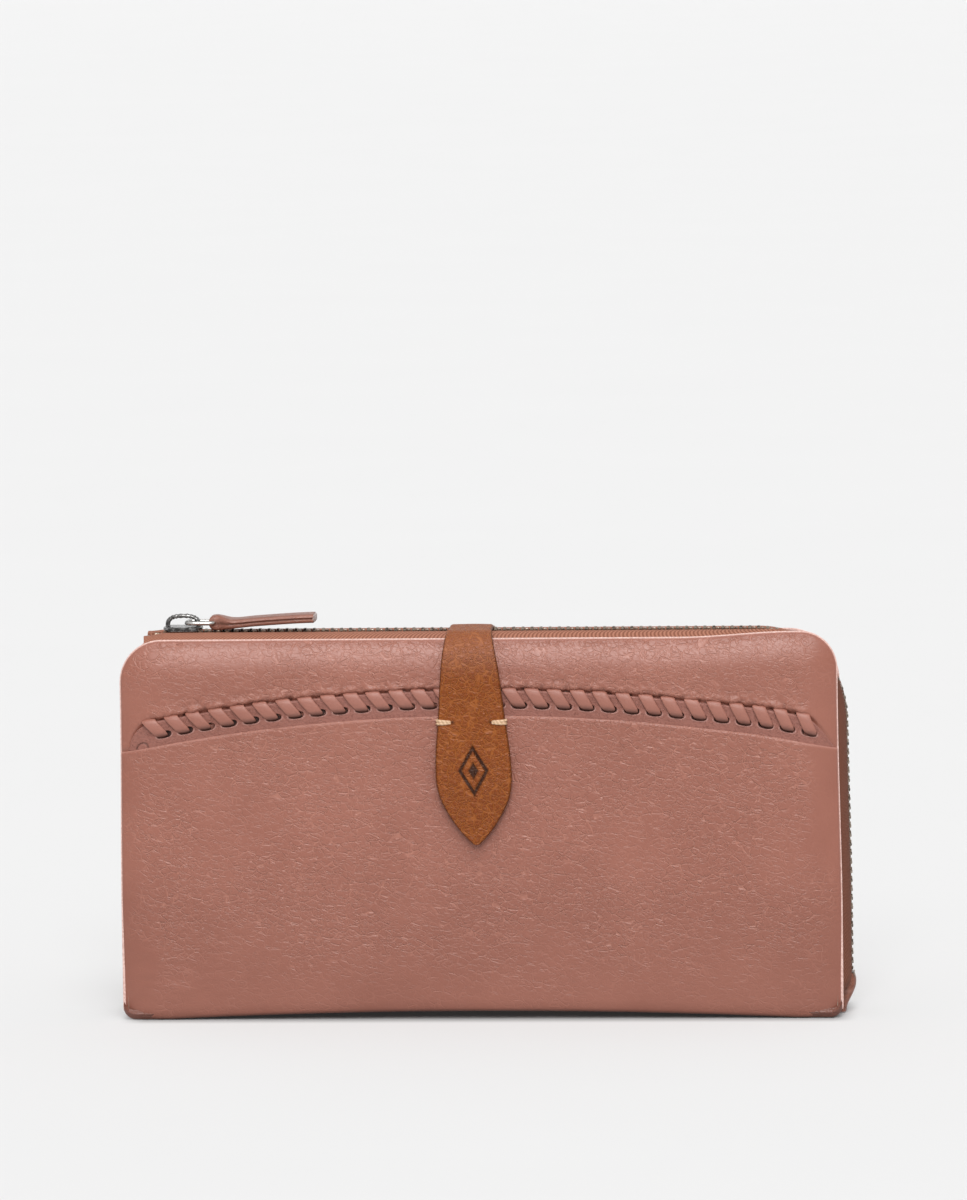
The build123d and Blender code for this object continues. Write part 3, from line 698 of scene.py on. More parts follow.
def build_lower_panel():
    columns = cover_columns(RADIUS_BOTTOM, RADIUS_BOTTOM, 0.42)
    low = arch(columns) + corner_drop(columns, RADIUS_BOTTOM, RADIUS_BOTTOM)
    x, z = panel_grid(columns, low, seam(columns), 190)
    below = seam(x) - z
    depth = padded_depth(x, z)
    fold = 0.45
    depth += 0.30 * np.exp(-below / 9) - fold * (1 - rounded(below / fold))
    spots = np.stack([x, 0 * x, z], -1).reshape(-1, 3)
    depth += 0.20 * grid_noise(x, z, 24.0, 5.0) * smooth_step(below, 1, 14)
    near = np.exp(-(((x - LEFT - 13) / 14) ** 2 + ((z - 12) / 11) ** 2))
    folds = noise_at(spots * np.array([0.32, 1, 1.0]), 1.7, 9.0).reshape(x.shape)
    depth += 0.13 * near * folds
    # Painted highlight along the panel's upper edge.
    wear_and_highlight = 0.42 * np.exp(-(below / 0.24) ** 2)
    build_panel("front_lower_skin", x, z, depth, -1, ["front_lower_panel"], "front_cover", wear_and_highlight)


def build_back_panel():
    radii = BACK_RADII
    columns = cover_columns(*radii, 0.6)
    low = arch(columns) + corner_drop(columns, RADIUS_BOTTOM, RADIUS_BOTTOM)
    high = TOP - corner_drop(columns, *radii)
    x, z = panel_grid(columns, low, high, 150)
    depth = padded_depth(x, z, radii)
    inward = smooth_step(edge_distance(x, z), 2, 12)
    depth += 0.14 * grid_noise(x, z, 24.0, 11.0) * inward
    build_panel("back_skin", x, z, depth, 1, ["back_panel"], "back_shell", radii=radii)


def build_edge_paint(name, sign, body, radii):
    """Thin painted edge of the turned leather, where it meets the lining; open along the bottom."""
    path = outline_path(0.8, inset=0.12, radii=radii)
    keep = path[:, 1] > 2.2
    start = int(np.argmax(keep & ~np.roll(keep, 1)))
    path = np.roll(path, -start, axis=0)
    path = path[: int(keep.sum())]
    section = rounded_section(0.36, 0.30)
    rings = []
    for x, z, out_x, out_z in path:
        y = sign * (INSIDE + 0.20)
        rings.append([(x + out_x * a, y + t, z + out_z * a) for a, t in section])
    make_piece(name, loft_solid(rings), edge_paint, [], body)


def build_board(name, sign, body, radii):
    """Stiff board under the leather, thinned towards its edges so that the leather rounds over."""
    low, high = box_mm(f"{name}_board")
    x = np.linspace(low[0], high[0], 120)
    z = np.linspace(low[2], high[2], 70)
    grid_x, grid_z = np.meshgrid(x, z)
    keep_x = np.clip(grid_x, LEFT + BOARD_INSET, RIGHT - BOARD_INSET)
    drop = corner_drop(keep_x, *radii)
    top = TOP - BOARD_INSET - np.maximum(drop - 0.35, 0)
    base = arch(keep_x) + BOARD_INSET
    share = (grid_z - low[2]) / (high[2] - low[2])
    keep_z = base + (top - base) * share
    inside = edge_distance(keep_x, keep_z, radii)
    face = np.minimum(BOARD_FACE, padded_depth(keep_x, keep_z, radii) - LEATHER - 0.05)
    face = np.maximum(face, BOARD_BACK + 0.2) - 0.15 * (inside < 1.0)
    front = np.stack([keep_x, sign * face, keep_z], -1)
    back = np.stack([keep_x, sign * (BOARD_BACK + 0.01 + 0 * face), keep_z], -1)
    make_piece(
        f"{name}_stiffener", sheet_solid(front, back), board_fibre, [f"{name}_board"], body
    )


build_upper_panel()
build_lower_panel()
build_back_panel()
for (side_name, side_sign, side_body), side_radii in zip(SIDES, (FRONT_RADII, BACK_RADII)):
    build_board(side_name, side_sign, side_body, side_radii)
for (side_name, side_sign, side_body), side_radii in zip(SIDES, (FRONT_RADII, BACK_RADII)):
    build_edge_paint(f"{side_name}_edge_paint", side_sign, side_body, side_radii)


def build_bottom():
    """Leather that carries on from the front panel, under the wallet, to the back panel."""
    x = cover_columns(RADIUS_BOTTOM, RADIUS_BOTTOM, 0.9)[5:-5]
    turn = np.linspace(0, 1, 44)
    reach = SKIN - 0.55
    y = -reach + 2 * reach * turn
    lift = 1.6 * (1 - np.sqrt(1 - np.clip((np.abs(y) - reach + 1.6) / 1.6, 0, 1) ** 2)) + 0.04
    grid_x = np.broadcast_to(x[None, :], (len(turn), len(x)))
    outer_z = arch(grid_x) + corner_drop(grid_x, RADIUS_BOTTOM, RADIUS_BOTTOM) + lift[:, None]
    grid_y = np.broadcast_to(y[:, None], grid_x.shape)
    outer = np.stack([grid_x, grid_y, outer_z], -1)
    inner = np.stack([grid_x, grid_y * 0.93, outer_z + 1.0], -1)
    shape = sheet_solid(outer, inner)
    # The whole underside is darkened as painted shade.
    piece = make_piece(
        "bottom_leather", shape, cover_leather, ["bottom_fold"],
        marks=marks_for(shape[0], calm=0.3, dark_marks_and_shade=0.5),
    )
    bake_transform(piece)


build_bottom()


# ------------------------------------------------------------------ laced seam
STRIP_SET = 0.12          # strip's face, behind the padded surface
# a hole's place right of its lace and above the seam, and its half width and half height
HOLE_X, HOLE_UP, HOLE_HALF, HOLE_TALL = 1.70, 2.70, 1.95, 0.92


def build_strip():
    """Strip of leather behind the laces: a hole beside each lace, a round mark at the left end."""
    columns = np.linspace(LEFT + 1.6, RIGHT - 1.2, 830)
    rows = 56
    share = np.linspace(0, 1, rows)[:, None]
    top = strip_top(columns)
    x = np.broadcast_to(columns[None, :], (rows, len(columns)))
    up = -0.5 + (top[None, :] + 0.5) * share
    z = seam(x) + up
    below_top = top[None, :] - up
    depth = padded_depth(x, z) - STRIP_SET - 0.45 * (1 - rounded(below_top / 0.45))
    depth -= 0.5 * smooth_step(-up, 0.0, 0.3)
    dark_marks_and_shade = np.zeros_like(x)
    # Painted highlight along the strip's upper edge.
    wear_and_highlight = 0.22 * np.exp(-(below_top / 0.3) ** 2)
    for centre in LACES + HOLE_X:
        across = np.abs(x - centre) / HOLE_HALF
        upward = np.abs(up - HOLE_UP) / HOLE_TALL
        away = (across ** 2.6 + upward ** 2.6) ** (1 / 2.6)
        inside = smooth_step(-away, -1.05, -0.92)
        depth = depth - inside * 1.0
        # Painted shade inside each hole.
        dark_marks_and_shade = np.maximum(dark_marks_and_shade, inside * 0.9)
        lower = smooth_step(-up, -HOLE_UP - 0.4, -HOLE_UP + 0.4)
        rim = np.exp(-((away - 1.13) / 0.085) ** 2) * lower
        depth = depth + 0.07 * rim
        # Painted highlight on the lower rim of each hole.
        wear_and_highlight = np.maximum(wear_and_highlight, rim * 0.75)
    cut = np.hypot(x - (LEFT + 5.9), up + 0.1) / 1.6
    outline = np.exp(-((cut - 1) / 0.12) ** 2)
    depth = depth - 0.25 * outline
    dark_marks_and_shade = np.maximum(dark_marks_and_shade, 0.6 * outline)
    front = np.stack([x, -depth, z], -1)
    back = np.stack([x, -(0 * depth + 10.9), z], -1)
    marks = {"calm": twice(0 * dark_marks_and_shade), "wear_and_highlight": twice(wear_and_highlight), "dark_marks_and_shade": twice(dark_marks_and_shade)}
    make_piece(
        "lace_strip_skin", sheet_solid(front, back), strip_leather, ["lace_strip"],
        "front_cover", marks=marks,
    )


def lace_ribbon(x, number):
    """One lace: out of its hole, across the strip and back over the strip's upper edge."""
    wander = 0.2 * math.sin(number * 2.4)
    base = Vector((x, 0, float(seam(np.array(x)))))
    face = float(padded_depth(np.array(x), np.array(base.z + 4.0))) - STRIP_SET
    tilt = math.asin((x - MIDDLE) / SEAM_RADIUS)
    along = Vector((math.cos(tilt), 0, -math.sin(tilt)))
    upward = Vector((math.sin(tilt), 0, math.cos(tilt)))
    stations = (
        (1.75, 2.05, -0.85, 0.80),
        (1.62, 2.45, -0.35, 0.86),
        (1.40, 2.90, 0.12, 0.92),
        (1.05, 3.50, 0.38, 0.97),
        (0.50, 4.30, 0.48, 1.0),
        (-0.15, 5.20, 0.50, 1.0),
        (-0.75, 6.05, 0.44, 1.0),
        (-1.10, 6.60, 0.28, 1.0),
        (-1.24, 6.90, -0.05, 0.99),
        (-1.28, 7.00, -0.55, 0.97),
        (-1.28, 6.85, -1.10, 0.95),
    )
    rings = []
    for index, (side, up, out, wide) in enumerate(stations):
        half = 1.92 * wide
        section = rounded_section(half, 0.24, steps=6, power=0.38)
        centre = base + along * (side + wander * 0.5) + upward * (up + 0.12 * wander)
        before = stations[max(index - 1, 0)]
        after = stations[min(index + 1, len(stations) - 1)]
        run = Vector((0.0, after[1] - before[1], after[2] - before[2]))
        rise = run.z / max(run.length, 1e-6)
        flat = run.y / max(run.length, 1e-6)
        through = Vector((0, -flat, 0)) - upward * rise
        ring = []
        for across, thick in section:
            crown = 0.20 * (1 - (across / half) ** 2)
            ring.append(
                centre + Vector((0, -face - out, 0)) + along * across + through * (thick + crown)
            )
        rings.append([tuple(p) for p in ring])
    return rings


def build_laces():
    ribbons = [lace_ribbon(float(x), number) for number, x in enumerate(LACES)]
    points, faces = merged([loft_solid(ribbon) for ribbon in ribbons])
    up = points[:, 2] - seam(points[:, 0])
    # Each lace's lower end, where it goes into its hole, is darkened as painted shade.
    piece = make_piece(
        "whip_laces", (points, faces), lace_leather, ["whip_lacing"], "front_cover",
        marks=marks_for(points, dark_marks_and_shade=0.85 * smooth_step(-up, -3.0, -2.3)),
    )
    rounding = piece.modifiers.new("rounding", "SUBSURF")
    rounding.levels = rounding.render_levels = 1


build_strip()
build_laces()


# ------------------------------------------------------------------ strap
STRAP_THICK = 1.5
STRAP_INNER = 13.75
BEND_TOP = strap_high[2]
STRAP_TIP = strap_low[2]


def strap_half_width(z):
    """Half width of the front flap at a height: a narrow neck, wide low down, and a blunt point."""
    heights = np.array([46.9, 48.5, 51.3, 55.4, 59.4, 64.2, 71.5, 79.5, 87.6, 94.5, 100.0, 104.0])
    widths = np.array([0.7, 2.4, 4.8, 7.4, 9.3, 10.1, 9.8, 8.85, 8.15, 7.45, 6.5, 5.7])
    fine = np.linspace(heights[0], heights[-1], 120)
    smooth = np.interp(fine, heights, widths)
    smooth[4:-4] = np.convolve(smooth, np.ones(9) / 9, mode="valid")
    return np.interp(z, fine, smooth)


def strap_route():
    """Path of the strap's middle layer in (y, z), from the back fold over the zip to the tip."""
    half = STRAP_THICK / 2
    top = BEND_TOP - half + 0.40
    rear = strap_high[1]
    route = [(rear + 0.6, top - 2.9), (rear + 0.1, top - 2.0), (rear - 1.5, top - 1.5)]
    for y in np.linspace(9, -6, 12):
        route.append((y, top - 1.5 * smooth_step(y, 0.0, 11.0) - 0.35 * smooth_step(-y, 0, 8)))
    front = -(STRAP_INNER + half)
    for angle in np.linspace(0.1, 1.0, 9):
        turn = angle * math.pi / 2
        route.append((front + 6.5 - 6.5 * math.sin(turn), top - 6.85 + 6.5 * math.cos(turn)))
    heights = np.linspace(top - 7.6, STRAP_TIP, 80)
    gap = 0.75 * smooth_step(-heights, -82, -60) - 0.15 * smooth_step(-heights, -56, -47)
    route += [(front - g, z) for g, z in zip(gap, heights)]
    return np.array(route)


def strap_lean(z):
    """The flap hangs a little askew: its tip lies to the right of its top."""
    return 0.03 * (80 - np.clip(z, 47, 102))


def motif_depth(x, z):
    """A plain lozenge pressed into the flap: an outline with a small solid lozenge inside."""
    dx, dz = np.abs(x - STRAP_X), np.abs(z - 66.5)
    size = dx / 3.9 + dz / 6.6
    outline = smooth_step(-np.abs(size - 0.90), -0.17, -0.09)
    centre = smooth_step(-size, -0.40, -0.30)
    return np.maximum(outline, centre)


def build_strap():
    route = strap_route()
    length = travelled(route)
    places = np.arange(0, length[-1], 0.33)
    path = np.stack([np.interp(places, length, route[:, 0]), np.interp(places, length, route[:, 1])], 1)
    step = np.gradient(path, axis=0)
    step /= np.hypot(step[:, 0], step[:, 1])[:, None]
    normal = np.stack([step[:, 1], -step[:, 0]], 1)
    on_front = path[:, 0] < -8
    width = np.where(on_front, strap_half_width(path[:, 1]), 5.7)
    rings, edges, dark_marks_and_shades = [], [], []
    columns = np.linspace(-1, 1, 71)
    for (y, z), (ny, nz), half, is_front in zip(path, normal, width, on_front):
        round_edge = np.sqrt(1 - np.clip((np.abs(columns) * half - half + 0.75) / 0.75, 0, 1) ** 2)
        xs = STRAP_X + columns * half
        pressed = motif_depth(xs, np.full_like(xs, z)) if is_front else np.zeros_like(xs)
        crown = 0.12 * (1 - columns ** 2)
        outer = STRAP_THICK / 2 * round_edge + crown - 0.30 * pressed
        inner = -STRAP_THICK / 2 * np.maximum(round_edge, 0.55)
        top_side = [(x, y + ny * o, z + nz * o) for x, o in zip(xs, outer)]
        low_side = [(x, y + ny * o, z + nz * o) for x, o in zip(xs, inner)]
        rings.append(top_side + low_side[::-1])
        from_hole = np.abs(xs - STRAP_X) - half + 3.9
        hole = np.exp(-((from_hole / 0.45) ** 2 + ((z - STITCH_UP) / 0.42) ** 2))
        edge_dark = smooth_step(-(half - np.abs(xs - STRAP_X)), -0.55, 0.0)
        # Painted shade in the stitch holes; the dark edges and pressed motif are the leather's own.
        hole_shade = 0.9 * hole if is_front else 0
        dark_mark_and_shade_row = np.clip(0.50 * edge_dark + 0.90 * pressed + hole_shade, 0, 0.92)
        # The flap's underside is darkened as painted shade.
        dark_marks_and_shades.append(np.concatenate([dark_mark_and_shade_row, np.clip(0.35 + 0.3 * edge_dark, 0, 1)[::-1]]))
        # Lighter where the flap bends over the top: pull-up leather paling at the bend, and a painted
        # highlight.
        bend = math.exp(-((z - 97.5) / 4.5) ** 2) if is_front else 0.0
        edges.append(np.concatenate([0.22 * bend * (1 - edge_dark), np.zeros(len(xs))]))
    points, faces = loft_solid(rings)
    leather_noise = noise_at(points, 5.0, 21.0)
    points[:, 0] += strap_lean(points[:, 2])
    points = points + leather_noise[:, None] * np.array([0, 0.05, 0.02])
    marks = marks_for(points, wear_and_highlight=np.concatenate(edges), dark_marks_and_shade=np.concatenate(dark_marks_and_shades))
    piece = make_piece(
        "strap_leather", (points, faces), tan_leather, ["strap_flap", "strap_lining"],
        marks=marks, settle=False,
    )
    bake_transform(piece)


def build_strap_rear():
    """Sewn end of the strap on the back cover."""
    bottom = strap_back_low[2]
    heights = np.linspace(bottom, 100.7, 130)
    tail = np.sqrt(1 - (1 - np.clip((heights - bottom) / 7.0, 0, 1)) ** 2)
    half = (8.0 - 2.4 * smooth_step(heights, 84, 101)) * np.maximum(tail, 0.12)
    columns = np.linspace(-1, 1, 61)
    rings, dark_marks_and_shades = [], []
    for z, wide in zip(heights, half):
        round_edge = np.sqrt(1 - np.clip((np.abs(columns) * wide - wide + 0.6) / 0.6, 0, 1) ** 2)
        xs = STRAP_X + strap_lean(102) + columns * wide
        face = 12.75 + 1.5 * np.maximum(round_edge, 0.1) - 0.5 * smooth_step(z, 98, 102)
        rings.append([(x, y, z) for x, y in zip(xs, face)] + [(x, 12.2, z) for x in xs[::-1]])
        dark = 0.5 * smooth_step(-wide * (1 - np.abs(columns)), -0.55, 0.0)
        dark_marks_and_shades.append(np.concatenate([dark, dark[::-1]]))
    points, faces = loft_solid(rings)
    marks = marks_for(points, dark_marks_and_shade=np.concatenate(dark_marks_and_shades))
    make_piece(
        "strap_rear_leather", (points, faces), tan_leather, ["strap_back"], "back_shell",
        marks=marks, settle=False,
    )


def capsule(start, end, radius, sag, steps=7, around=10, flat=1.0):
    """Short thread between two points; its middle lifts by sag along Y."""
    start, end = np.array(start, float), np.array(end, float)
    direction = (end - start) / np.linalg.norm(end - start)
    lift = np.array([0.0, 1.0, 0.0])
    side = np.cross(direction, lift)
    rings = []
    for share in np.linspace(0, 1, steps):
        swell = math.sqrt(max(0.05, 1 - (2 * share - 1) ** 4))
        centre = start + (end - start) * share + lift * sag * (1 - (2 * share - 1) ** 2)
        rings.append([
            centre + (side * math.cos(a) + lift * math.sin(a) * flat) * radius * swell
            for a in full_turn(around)
        ])
    return loft_solid(rings)


def build_strap_stitches():
    """One thick stitch of two plies round each side edge of the flap."""
    parts = []
    face = -(STRAP_INNER + STRAP_THICK + 0.12)
    for side in (-1, 1):
        for ply in (-1, 1):
            inner = STRAP_X + side * 5.2
            outer = STRAP_X + side * 8.95
            stations = [
                (inner, face + 0.9, 0.22), (inner + side * 0.4, face + 0.1, 0.34),
                (inner + side * 1.6, face - 0.12, 0.42), (outer - side * 1.2, face - 0.05, 0.42),
                (outer - side * 0.2, face + 0.35, 0.40), (outer + side * 0.12, face + 1.0, 0.38),
                (outer, face + 1.9, 0.30),
            ]
            rings = []
            for index, (x, y, radius) in enumerate(stations):
                before = np.array(stations[max(index - 1, 0)][:2])
                after = np.array(stations[min(index + 1, 6)][:2])
                run = (after - before) / np.hypot(*(after - before))
                spread = (0.30 + 1.15 * index / 6) * ply * 0.33
                rings.append([
                    (x - run[1] * radius * math.cos(a), y + run[0] * radius * math.cos(a),
                     STITCH_UP + spread + radius * math.sin(a))
                    for a in full_turn(12)
                ])
            parts.append(loft_solid(rings))
    make_piece(
        "strap_front_stitches", merged(parts), cream_thread, ["strap_edge_stitches"],
        "strap",
    )


def build_rear_stitches():
    """Sewing round the strap's end on the back cover."""
    parts = []
    face = 14.22
    for number in range(9):
        z = 63.4 + number * 2.9
        for side in (-1, 1):
            x = STRAP_X + side * 6.4
            parts.append(capsule((x, face, z - 1.05), (x, face, z + 1.05), 0.26, 0.12))
    for x in np.arange(-2, 3) * 2.55:
        for z in (61.2, 90.2):
            start, end = (STRAP_X + x - 0.95, face, z), (STRAP_X + x + 0.95, face, z)
            parts.append(capsule(start, end, 0.26, 0.12))
    make_piece(
        "strap_rear_stitches", merged(parts), cream_thread, ["strap_back_stitches"],
        "back_shell",
    )


build_strap()
build_strap_rear()
build_strap_stitches()
build_rear_stitches()


# ------------------------------------------------------------------ zip
def zip_route(step, start_x, corner_x, corner_z, radius, end_z):
    """Path along the top, round the corner and down the side, as (x, z, out x, out z)."""
    rows = []
    top_count = int(abs(corner_x - start_x) / step)
    for x in np.linspace(start_x, corner_x, top_count, endpoint=False):
        rows.append((x, corner_z + radius, 0.0, 1.0))
    turn_count = int(radius * math.pi / 2 / step)
    for angle in np.linspace(math.pi / 2, 0, turn_count, endpoint=False):
        out = (math.cos(angle), math.sin(angle))
        rows.append((corner_x + radius * out[0], corner_z + radius * out[1], *out))
    side_count = int((corner_z - end_z) / step)
    for z in np.linspace(corner_z, end_z, side_count):
        rows.append((corner_x + radius, z, 1.0, 0.0))
    return np.array(rows), (top_count, turn_count, side_count)


def matched_route(counts, start_x, corner_x, corner_z, radius, end_z):
    """The same number of stations along a second path of the same kind, as (x, z)."""
    top_count, turn_count, side_count = counts
    across_top = np.linspace(start_x, corner_x, top_count, endpoint=False)
    rows = [(x, corner_z + radius) for x in across_top]
    for angle in np.linspace(math.pi / 2, 0, turn_count, endpoint=False):
        rows.append((corner_x + radius * math.cos(angle), corner_z + radius * math.sin(angle)))
    rows += [(corner_x + radius, z) for z in np.linspace(corner_z, end_z, side_count)]
    return np.array(rows)


def build_tape(name, sign, nodes, body):
    """Half of the zip's cloth: from the cover's edge, bellied out, to the chain."""
    start_x = TAPE_START
    chain, counts = zip_route(
        0.8, start_x, ZIP_SIDE - ZIP_CORNER, ZIP_TOP - ZIP_CORNER, ZIP_CORNER, TAPE_END
    )
    corner = (FRONT_RADII if sign < 0 else BACK_RADII)[1]
    hem = matched_route(
        counts, start_x + 0.5, RIGHT - corner, TOP - corner, corner - 1.6, TAPE_END
    )
    travel = travelled(chain)
    outer, inner, unrolled, shade = [], [], [], []
    for share in np.linspace(0, 1, 15):
        swell = 0.42 * math.sin(share * math.pi) + 0.05 * share
        rise = 1 - (1 - share) ** 2.4
        centre = hem + (chain[:, :2] - hem) * rise + chain[:, 2:] * swell
        centre[:, 0] -= 3.2 * rise * smooth_step(-centre[:, 1], -10.5, -TAPE_END)
        splay = 1.6 * smooth_step(-chain[:, 0], -start_x - 7, -start_x) * share
        y = sign * (INSIDE + 0.35 - (INSIDE - 1.75) * share + 0 * chain[:, 0]) + sign * splay
        drop = 0.8 * smooth_step(-chain[:, 0], -start_x - 6, -start_x) * share
        for target, offset in ((outer, 0.26), (inner, -0.26)):
            target.append(np.stack([
                centre[:, 0] + chain[:, 2] * offset, y, centre[:, 1] + chain[:, 3] * offset - drop,
            ], 1))
        unrolled.append(np.stack([travel, np.full_like(travel, share * 9.0)], 1))
        # Painted shade: the tape darker below its top run, down the side.
        shade.append(0.62 * smooth_step(-chain[:, 1], -(TOP - 6), -(TOP - 18)))
    outer, inner = np.array(outer), np.array(inner)
    uv = np.concatenate([np.array(unrolled).reshape(-1, 2)] * 2)
    piece = make_piece(
        name, sheet_solid(outer, inner), tape_cloth, nodes, body, uv=uv,
        marks={"dark_marks_and_shade": twice(np.array(shade))},
    )


def tooth_shape():
    """One tooth about its own middle: along the chain, across to the middle plane, and out."""
    stations = (
        (-1.05, 0.42, 0.80), (-0.95, 0.50, 0.90), (0.10, 0.50, 0.92), (0.45, 0.46, 0.86),
        (0.70, 0.36, 0.62), (1.00, 0.42, 0.56), (1.35, 0.48, 0.54), (1.50, 0.38, 0.42),
    )
    rings = []
    for across, along, out in stations:
        section = rounded_section(along, out, steps=3, power=0.45)
        rings.append([(a, across, o) for a, o in section])
    return loft_solid(rings)


def build_teeth(name, sign, phase, nodes, body):
    """One side of the chain: separate teeth along the zip's path."""
    shape_points, shape_faces = tooth_shape()
    route, _ = zip_route(
        0.2, CHAIN_START, ZIP_SIDE - ZIP_CORNER, ZIP_TOP - ZIP_CORNER, ZIP_CORNER, CHAIN_END
    )
    travel = travelled(route)
    parts = []
    for place in np.arange(phase, travel[-1] - 0.4, TOOTH_PITCH):
        x, z, out_x, out_z = (np.interp(place, travel, route[:, i]) for i in range(4))
        size = math.hypot(out_x, out_z)
        out = np.array([out_x, 0, out_z]) / size
        along = np.array([out[2], 0, -out[0]])
        across = np.array([0, -sign, 0])
        centre = np.array([x, sign * 1.25, z])
        moved = (
            centre + shape_points[:, :1] * along + shape_points[:, 1:2] * across
            + shape_points[:, 2:] * out
        )
        parts.append((moved, shape_faces))
    make_piece(name, merged(parts), tooth_metal, nodes, body, smooth=40)


def build_stops():
    """Small clamps at the loose ends of the two tapes."""
    for name, sign, body in SIDES:
        low, high = box_mm(f"zip_stop_{name}")
        middle = (low + high) / 2 + np.array([0.0, sign * 1.0, -0.7])
        rings = []
        for along in (-0.95, -0.8, 0.8, 0.95):
            grow = 0.86 if abs(along) > 0.9 else 1.0
            section = rounded_section(0.95 * grow, 1.05 * grow, steps=4, power=0.6)
            rings.append([(middle[0] + along, middle[1] + a, middle[2] + o) for a, o in section])
        make_piece(
            f"top_stop_{name}", loft_solid(rings), tooth_metal, [f"zip_stop_{name}"], body,
            smooth=40,
        )


for side_name, side_sign, side_body in SIDES:
    build_tape(f"tape_{side_name}", side_sign, [f"zip_tape_{side_name}"], side_body)
    half_pitch = 0.0 if side_sign < 0 else TOOTH_PITCH / 2
    build_teeth(
        f"teeth_{side_name}", side_sign, half_pitch, [f"zip_teeth_{side_name}"], side_body
    )
build_stops()


def build_end_tab():
    """Folded leather tab that closes the zip's lower end."""
    low, high = end_low, end_high
    rings = []
    for share in np.linspace(0, 1, 14):
        z = low[2] + (high[2] - low[2] + 1.2) * share
        reach = 1.0 + 2.6 * smooth_step(share, 0.0, 0.75) - 0.5 * smooth_step(share, 0.85, 1.0)
        half = 3.6 - 0.5 * share
        centre = RIGHT - 1.6 + reach / 2 + 0.4
        section = rounded_section(reach / 2 + 1.0, half, steps=6, power=0.6)
        rings.append([(centre + a, t, z) for a, t in section])
    points, faces = loft_solid(rings)
    # Painted shade and painted highlight along the fold.
    fold_shade = 0.5 * np.exp(-((points[:, 2] - 6.2) / 0.22) ** 2)
    fold_highlight = 0.6 * np.exp(-((points[:, 2] - 5.6) / 0.25) ** 2)
    marks = marks_for(points, wear_and_highlight=fold_highlight, dark_marks_and_shade=fold_shade)
    make_piece(
        "end_tab_leather", (points, faces), trim_leather, ["zip_end_tab"], "back_shell",
        marks=marks,
    )


build_end_tab()


# ------------------------------------------------------------------ slider, ring and pull tab
def plate_outline(half_length, half_width, steps=40):
    """Shield outline of a slider plate: broad at the open end, waisted and narrower at the other."""
    rows = []
    for a in full_turn(steps):
        c, s = math.cos(a), math.sin(a)
        x = signed_power(c, 0.6) * half_length
        y = signed_power(s, 0.6) * half_width
        narrow = 1 - 0.20 * (x / half_length + 1) / 2
        rows.append((x, y * narrow))
    return np.array(rows)


def build_slider():
    """Two plates, the post between them and a flange down each side."""
    middle = (slider_low + slider_high) / 2
    base_z, top_z = slider_low[2] + ZIP_RAISE, slider_high[2] + 0.4 * ZIP_RAISE
    half_length = (slider_high[0] - slider_low[0]) / 2
    half_width = (slider_high[1] - slider_low[1]) / 2
    parts = []
    for base, top in ((base_z, base_z + 0.8), (top_z - 0.8, top_z)):
        rings = []
        for z, grow in ((base, 0.94), (base + 0.15, 1.0), (top - 0.2, 1.0), (top, 0.93)):
            outline = plate_outline(half_length * grow, half_width * grow)
            rings.append([(middle[0] + x, y, z) for x, y in outline])
        parts.append(loft_solid(rings))
    post = []
    for z in np.linspace(base_z + 0.6, top_z - 0.6, 4):
        section = rounded_section(1.3, 0.24, steps=4, power=0.8)
        post.append([(slider_low[0] + 1.9 + a, t, z) for a, t in section])
    parts.append(loft_solid(post))
    for side in (-1, 1):
        rings = []
        for share in np.linspace(0, 1, 12):
            x = slider_low[0] + 1.4 + share * (2 * half_length - 2.6)
            y = side * (half_width * (0.93 - 0.17 * share) - 0.35)
            section = rounded_section(0.34, 0.30, steps=3, power=0.7)
            rings.append([(x, y + a, top_z - 0.95 + t) for a, t in section])
        parts.append(loft_solid(rings))
    make_piece(
        "slider_plates", merged(parts), slider_metal, ["slider_body"], "zip_slider",
        smooth=35,
    )


def build_bridge():
    """Arched bridge of the slider, with a row of pressed dimples along its crown."""
    low, high = bridge_low, bridge_high
    span = high[0] - low[0]
    rings = []
    for index, share in enumerate(np.linspace(0, 1, 48)):
        angle = math.pi * (1 - share)
        bowed = signed_power(math.cos(angle), 0.78)
        x = low[0] + span / 2 + bowed * (span / 2 - 0.1)
        z = low[2] + 0.1 + math.sin(angle) ** 0.62 * (high[2] - low[2] - 0.35)
        dimple = 0.18 * (0.5 + 0.5 * math.cos(TURN * index / 4))
        dimple = dimple * smooth_step(z, low[2] + 1.6, low[2] + 2.4)
        half_thick = 0.62 - dimple * 0.9
        half_width = 1.05 + 0.25 * (1 - math.sin(angle))
        normal = np.array([math.cos(angle), math.sin(angle) + 0.25])
        normal /= np.hypot(*normal)
        section = rounded_section(half_width, half_thick, steps=4, power=0.6)
        rings.append([(x + normal[0] * t, a, z + normal[1] * t) for a, t in section])
    make_piece(
        "slider_arch", loft_solid(rings), slider_metal, ["slider_bridge"], "zip_slider",
        smooth=60,
    )


def build_ring():
    """Bright wire ring, a rounded rectangle."""
    wire = (ring_high[2] - ring_low[2]) / 2
    x0, x1 = ring_low[0] + wire, ring_high[0] - wire
    y = ring_high[1] - wire
    z = (ring_low[2] + ring_high[2]) / 2
    rings = []
    for a in full_turn(72):
        c, s = math.cos(a), math.sin(a)
        px = (x0 + x1) / 2 + signed_power(c, 0.42) * (x1 - x0) / 2
        py = signed_power(s, 0.42) * y
        centre = np.array([px, py, z])
        out = np.array([c, s * 1.1, 0])
        out /= np.linalg.norm(out)
        rings.append([
            centre + (out * math.cos(b) + np.array([0, 0, 1.0]) * math.sin(b)) * wire
            for b in full_turn(14)
        ])
    make_piece("wire_ring", loop_solid(rings), ring_metal, ["pull_ring"], "pull_ring")


